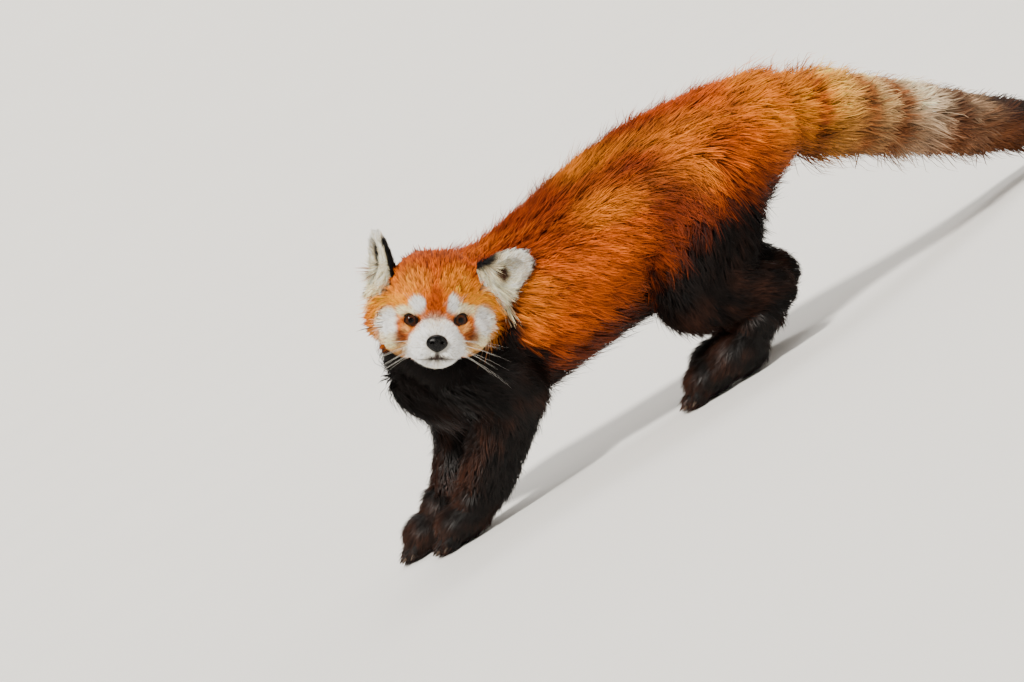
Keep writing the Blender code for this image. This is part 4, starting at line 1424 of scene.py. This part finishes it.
def make_eyes():
    """Glossy eyeballs with a dark pupil and a brown iris, pole on the line of sight."""
    material, tree, inputs = new_material(
        "eye", Roughness=0.08, Specular_IOR_Level=0.0, Coat_Weight=0.25, Coat_Roughness=0.03
    )
    iris = ramped(tree, stored(tree, "from_axis", "Fac"), IRIS)
    tone = spread(tree, noise(tree, 900.0, 3.0), 0.6, 1.4)
    tree.links.new(scaled(tree, iris, tone), inputs["Base Color"])
    sides, steps = 64, 40
    profile = []
    values = []
    for k in range(steps + 1):
        turn = math.pi * k / steps
        radius = EYE_RADIUS * math.sin(turn)
        profile.append((EYE_RADIUS * math.cos(turn), radius))
        value = min(1.0, radius / IRIS_RADIUS) if turn < math.pi / 2 else 1.0
        values += [value] * (1 if k in (0, steps) else sides)
    for side, name in ((1, "eye_left"), (-1, "eye_right")):
        ball = revolved(name + "_ball", profile, sides)
        ball.data.attributes.new("from_axis", "FLOAT", "POINT").data.foreach_set("value", values)
        look = Matrix.Rotation(side * EYE_OUTWARD * EYE_GAZE, 3, "Z")
        moved(ball, on_side(EYE_AT, side) * MM, look)
        moved(in_stance(ball), SHIFT)
        dress(ball, material, "eye", name)


def make_nose():
    """A broad leathery nose, narrower below, with a nostril on each side."""
    pad = ellipsoid("nose_pad", (0, 0, 0), NOSE_SIZE, segments=40)
    for vertex in pad.data.vertices:
        down = max(0.0, -vertex.co.z / (NOSE_SIZE[2] * MM))
        vertex.co.y *= 1 - NOSE_NARROWED * down * down
        vertex.co.x *= 1 - NOSE_FLATTENED * down
    step, rounds = NOSE_FUSE
    remeshed(moved(pad, NOSE_AT * MM), step)
    combined(pad, "DIFFERENCE", mirror_pair("nostril", NOSTRIL_AT, NOSTRIL_SIZE))
    softened(pad, rounds)
    pad.data.shade_smooth()
    moved(in_stance(pad), SHIFT)
    dress(pad, leather_material(*NOSE_LEATHER), "nose_and_claws", "nose")


def make_claws():
    """A short curved claw at the end of every toe."""
    claws = []
    for _, centre, _ in PAWS.values():
        for at, spin in toe_places(centre):
            tip = at + spin @ Vector((TOE_SIZE[0] - 2, 0, CLAW_HEIGHT))
            stations = []
            for t in (0, 0.3, 0.6, 0.85, 1):
                radius = CLAW_RADIUS * (1 - 0.85 * t * t)
                drop = CLAW_DROP * CLAW_LENGTH * t * t
                stations.append((CLAW_LENGTH * t - CLAW_SUNK, 0, -drop, radius * 0.7, radius))
            claws.append(moved(loft("claw", stations, UP, sides=12, steps=3), tip * MM + SHIFT, spin))
    obj = joined("claws", claws)
    obj.data.shade_smooth()
    dress(obj, leather_material(*CLAW_HORN), "nose_and_claws")


def whisker(at, way, length, radius):
    """A fine hair that tapers and sags towards its end."""
    stations = []
    for t in (0, 0.25, 0.5, 0.75, 1):
        place = at + way * length * t + WHISKER_SAG * t * t * length / 50
        stations.append((*place, radius * (1 - 0.85 * t), radius * (1 - 0.85 * t)))
    return loft("whisker", stations, UP, sides=5, steps=2)


def make_whiskers():
    """Long pale whiskers from the sides of the muzzle and a few from the brows."""
    chance = np.random.default_rng(SEED + 50)
    whiskers = []
    for side in (1, -1):
        for column in range(3):
            for row in range(4):
                forward = 29 - 4 * column + chance.uniform(-1, 1)
                at = Vector((forward, side * (19 + 1.6 * column), -18 - 3.6 * row))
                length = chance.uniform(30, 54)
                ahead = chance.uniform(-0.1, 0.35)
                rise = -0.05 - 0.16 * row + chance.uniform(-0.08, 0.08)
                way = Vector((ahead, side, rise)).normalized()
                whiskers.append(whisker(at, way, length, WHISKER_RADIUS))
        for k in range(3):
            at = Vector((10, side * (15 + 3 * k), 11 + k))
            way = Vector((0.8, side * 0.5, 0.9)).normalized()
            whiskers.append(whisker(at, way, chance.uniform(16, 24), BROW_WHISKER_RADIUS))
    obj = joined("whiskers", whiskers)
    obj.data.shade_smooth()
    moved(in_stance(obj), SHIFT)
    dress(obj, plain_material("whisker", WHISKER_TONES, 120.0, 0.4), "coat_cream")


def make_camera():
    width, height = PHOTO_SIZE
    right = Vector((-math.cos(ROLL), 0, -math.sin(ROLL)))
    tilted_up = Vector((-math.sin(ROLL), 0, math.cos(ROLL)))
    level = Vector((0, -1, 0))
    forward = level * math.cos(CAMERA_RAISED) - tilted_up * math.sin(CAMERA_RAISED)
    up = tilted_up * math.cos(CAMERA_RAISED) + level * math.sin(CAMERA_RAISED)
    across = (width / 2 - ORIGIN_PIXEL[0]) * PIXEL
    over = (ORIGIN_PIXEL[1] - height / 2) * PIXEL
    target = right * across + tilted_up * over
    data = bpy.data.cameras.new("camera")
    data.sensor_width = SENSOR
    data.lens = CAMERA_DISTANCE / PIXEL * SENSOR / width
    data.clip_end = 100
    camera = placed("camera", data)
    turn = Matrix((right, up, -forward)).transposed().to_4x4()
    camera.matrix_world = Matrix.Translation(target - forward * CAMERA_DISTANCE + SHIFT) @ turn
    bpy.context.scene.camera = camera


def make_floor():
    """A pale floor that rises smoothly to a wall all round."""
    profile = [(0.0, 0.0)]
    profile += [(0.0, radius) for radius in FLOOR_RINGS]
    for k in range(1, BOWL_STEPS + 1):
        turn = math.pi / 2 * k / BOWL_STEPS
        profile.append((BOWL_RADIUS * (1 - math.cos(turn)), FLOOR_RINGS[-1] + BOWL_RADIUS * math.sin(turn)))
    profile.append((BOWL_RADIUS + WALL_RISE, FLOOR_RINGS[-1] + BOWL_RADIUS))
    floor = revolved("floor", [(x / MM, radius / MM) for x, radius in profile], 96, closed=False)
    upright = Matrix(((0, 1, 0), (0, 0, 1), (1, 0, 0)))
    moved(floor, (0, 0, 0), upright)
    floor.data.materials.append(plain_material("floor", FLOOR_TONES, 3.0, 0.8))


def make_lights():
    """A soft sky, a warm key light and a weaker one from behind."""
    world = bpy.data.worlds.new("studio")
    world.use_nodes = True
    background = world.node_tree.nodes["Background"]
    background.inputs["Color"].default_value = SKY_COLOUR
    background.inputs["Strength"].default_value = SKY_STRENGTH
    bpy.context.scene.world = world
    for name, way, power, angle, colour in LIGHTS:
        data = bpy.data.lights.new(name, "SUN")
        data.energy = power
        data.angle = math.radians(angle)
        data.color = colour
        light = placed(name, data)
        light.rotation_euler = (-Vector(way)).to_track_quat("-Z", "Y").to_euler()


def main():
    make_camera()
    skin = make_skin()
    unwrap(skin)
    surface = Surface(skin)
    store_colour(skin.data, np.clip(markings(surface.verts, surface.normals) * SKIN_DARKER, 0, 1))
    dress(skin, hair_material(*SKIN), "coat_dark", *FLESH)
    make_coat(surface)
    make_eyes()
    make_nose()
    make_claws()
    make_whiskers()
    make_floor()
    make_lights()


main()
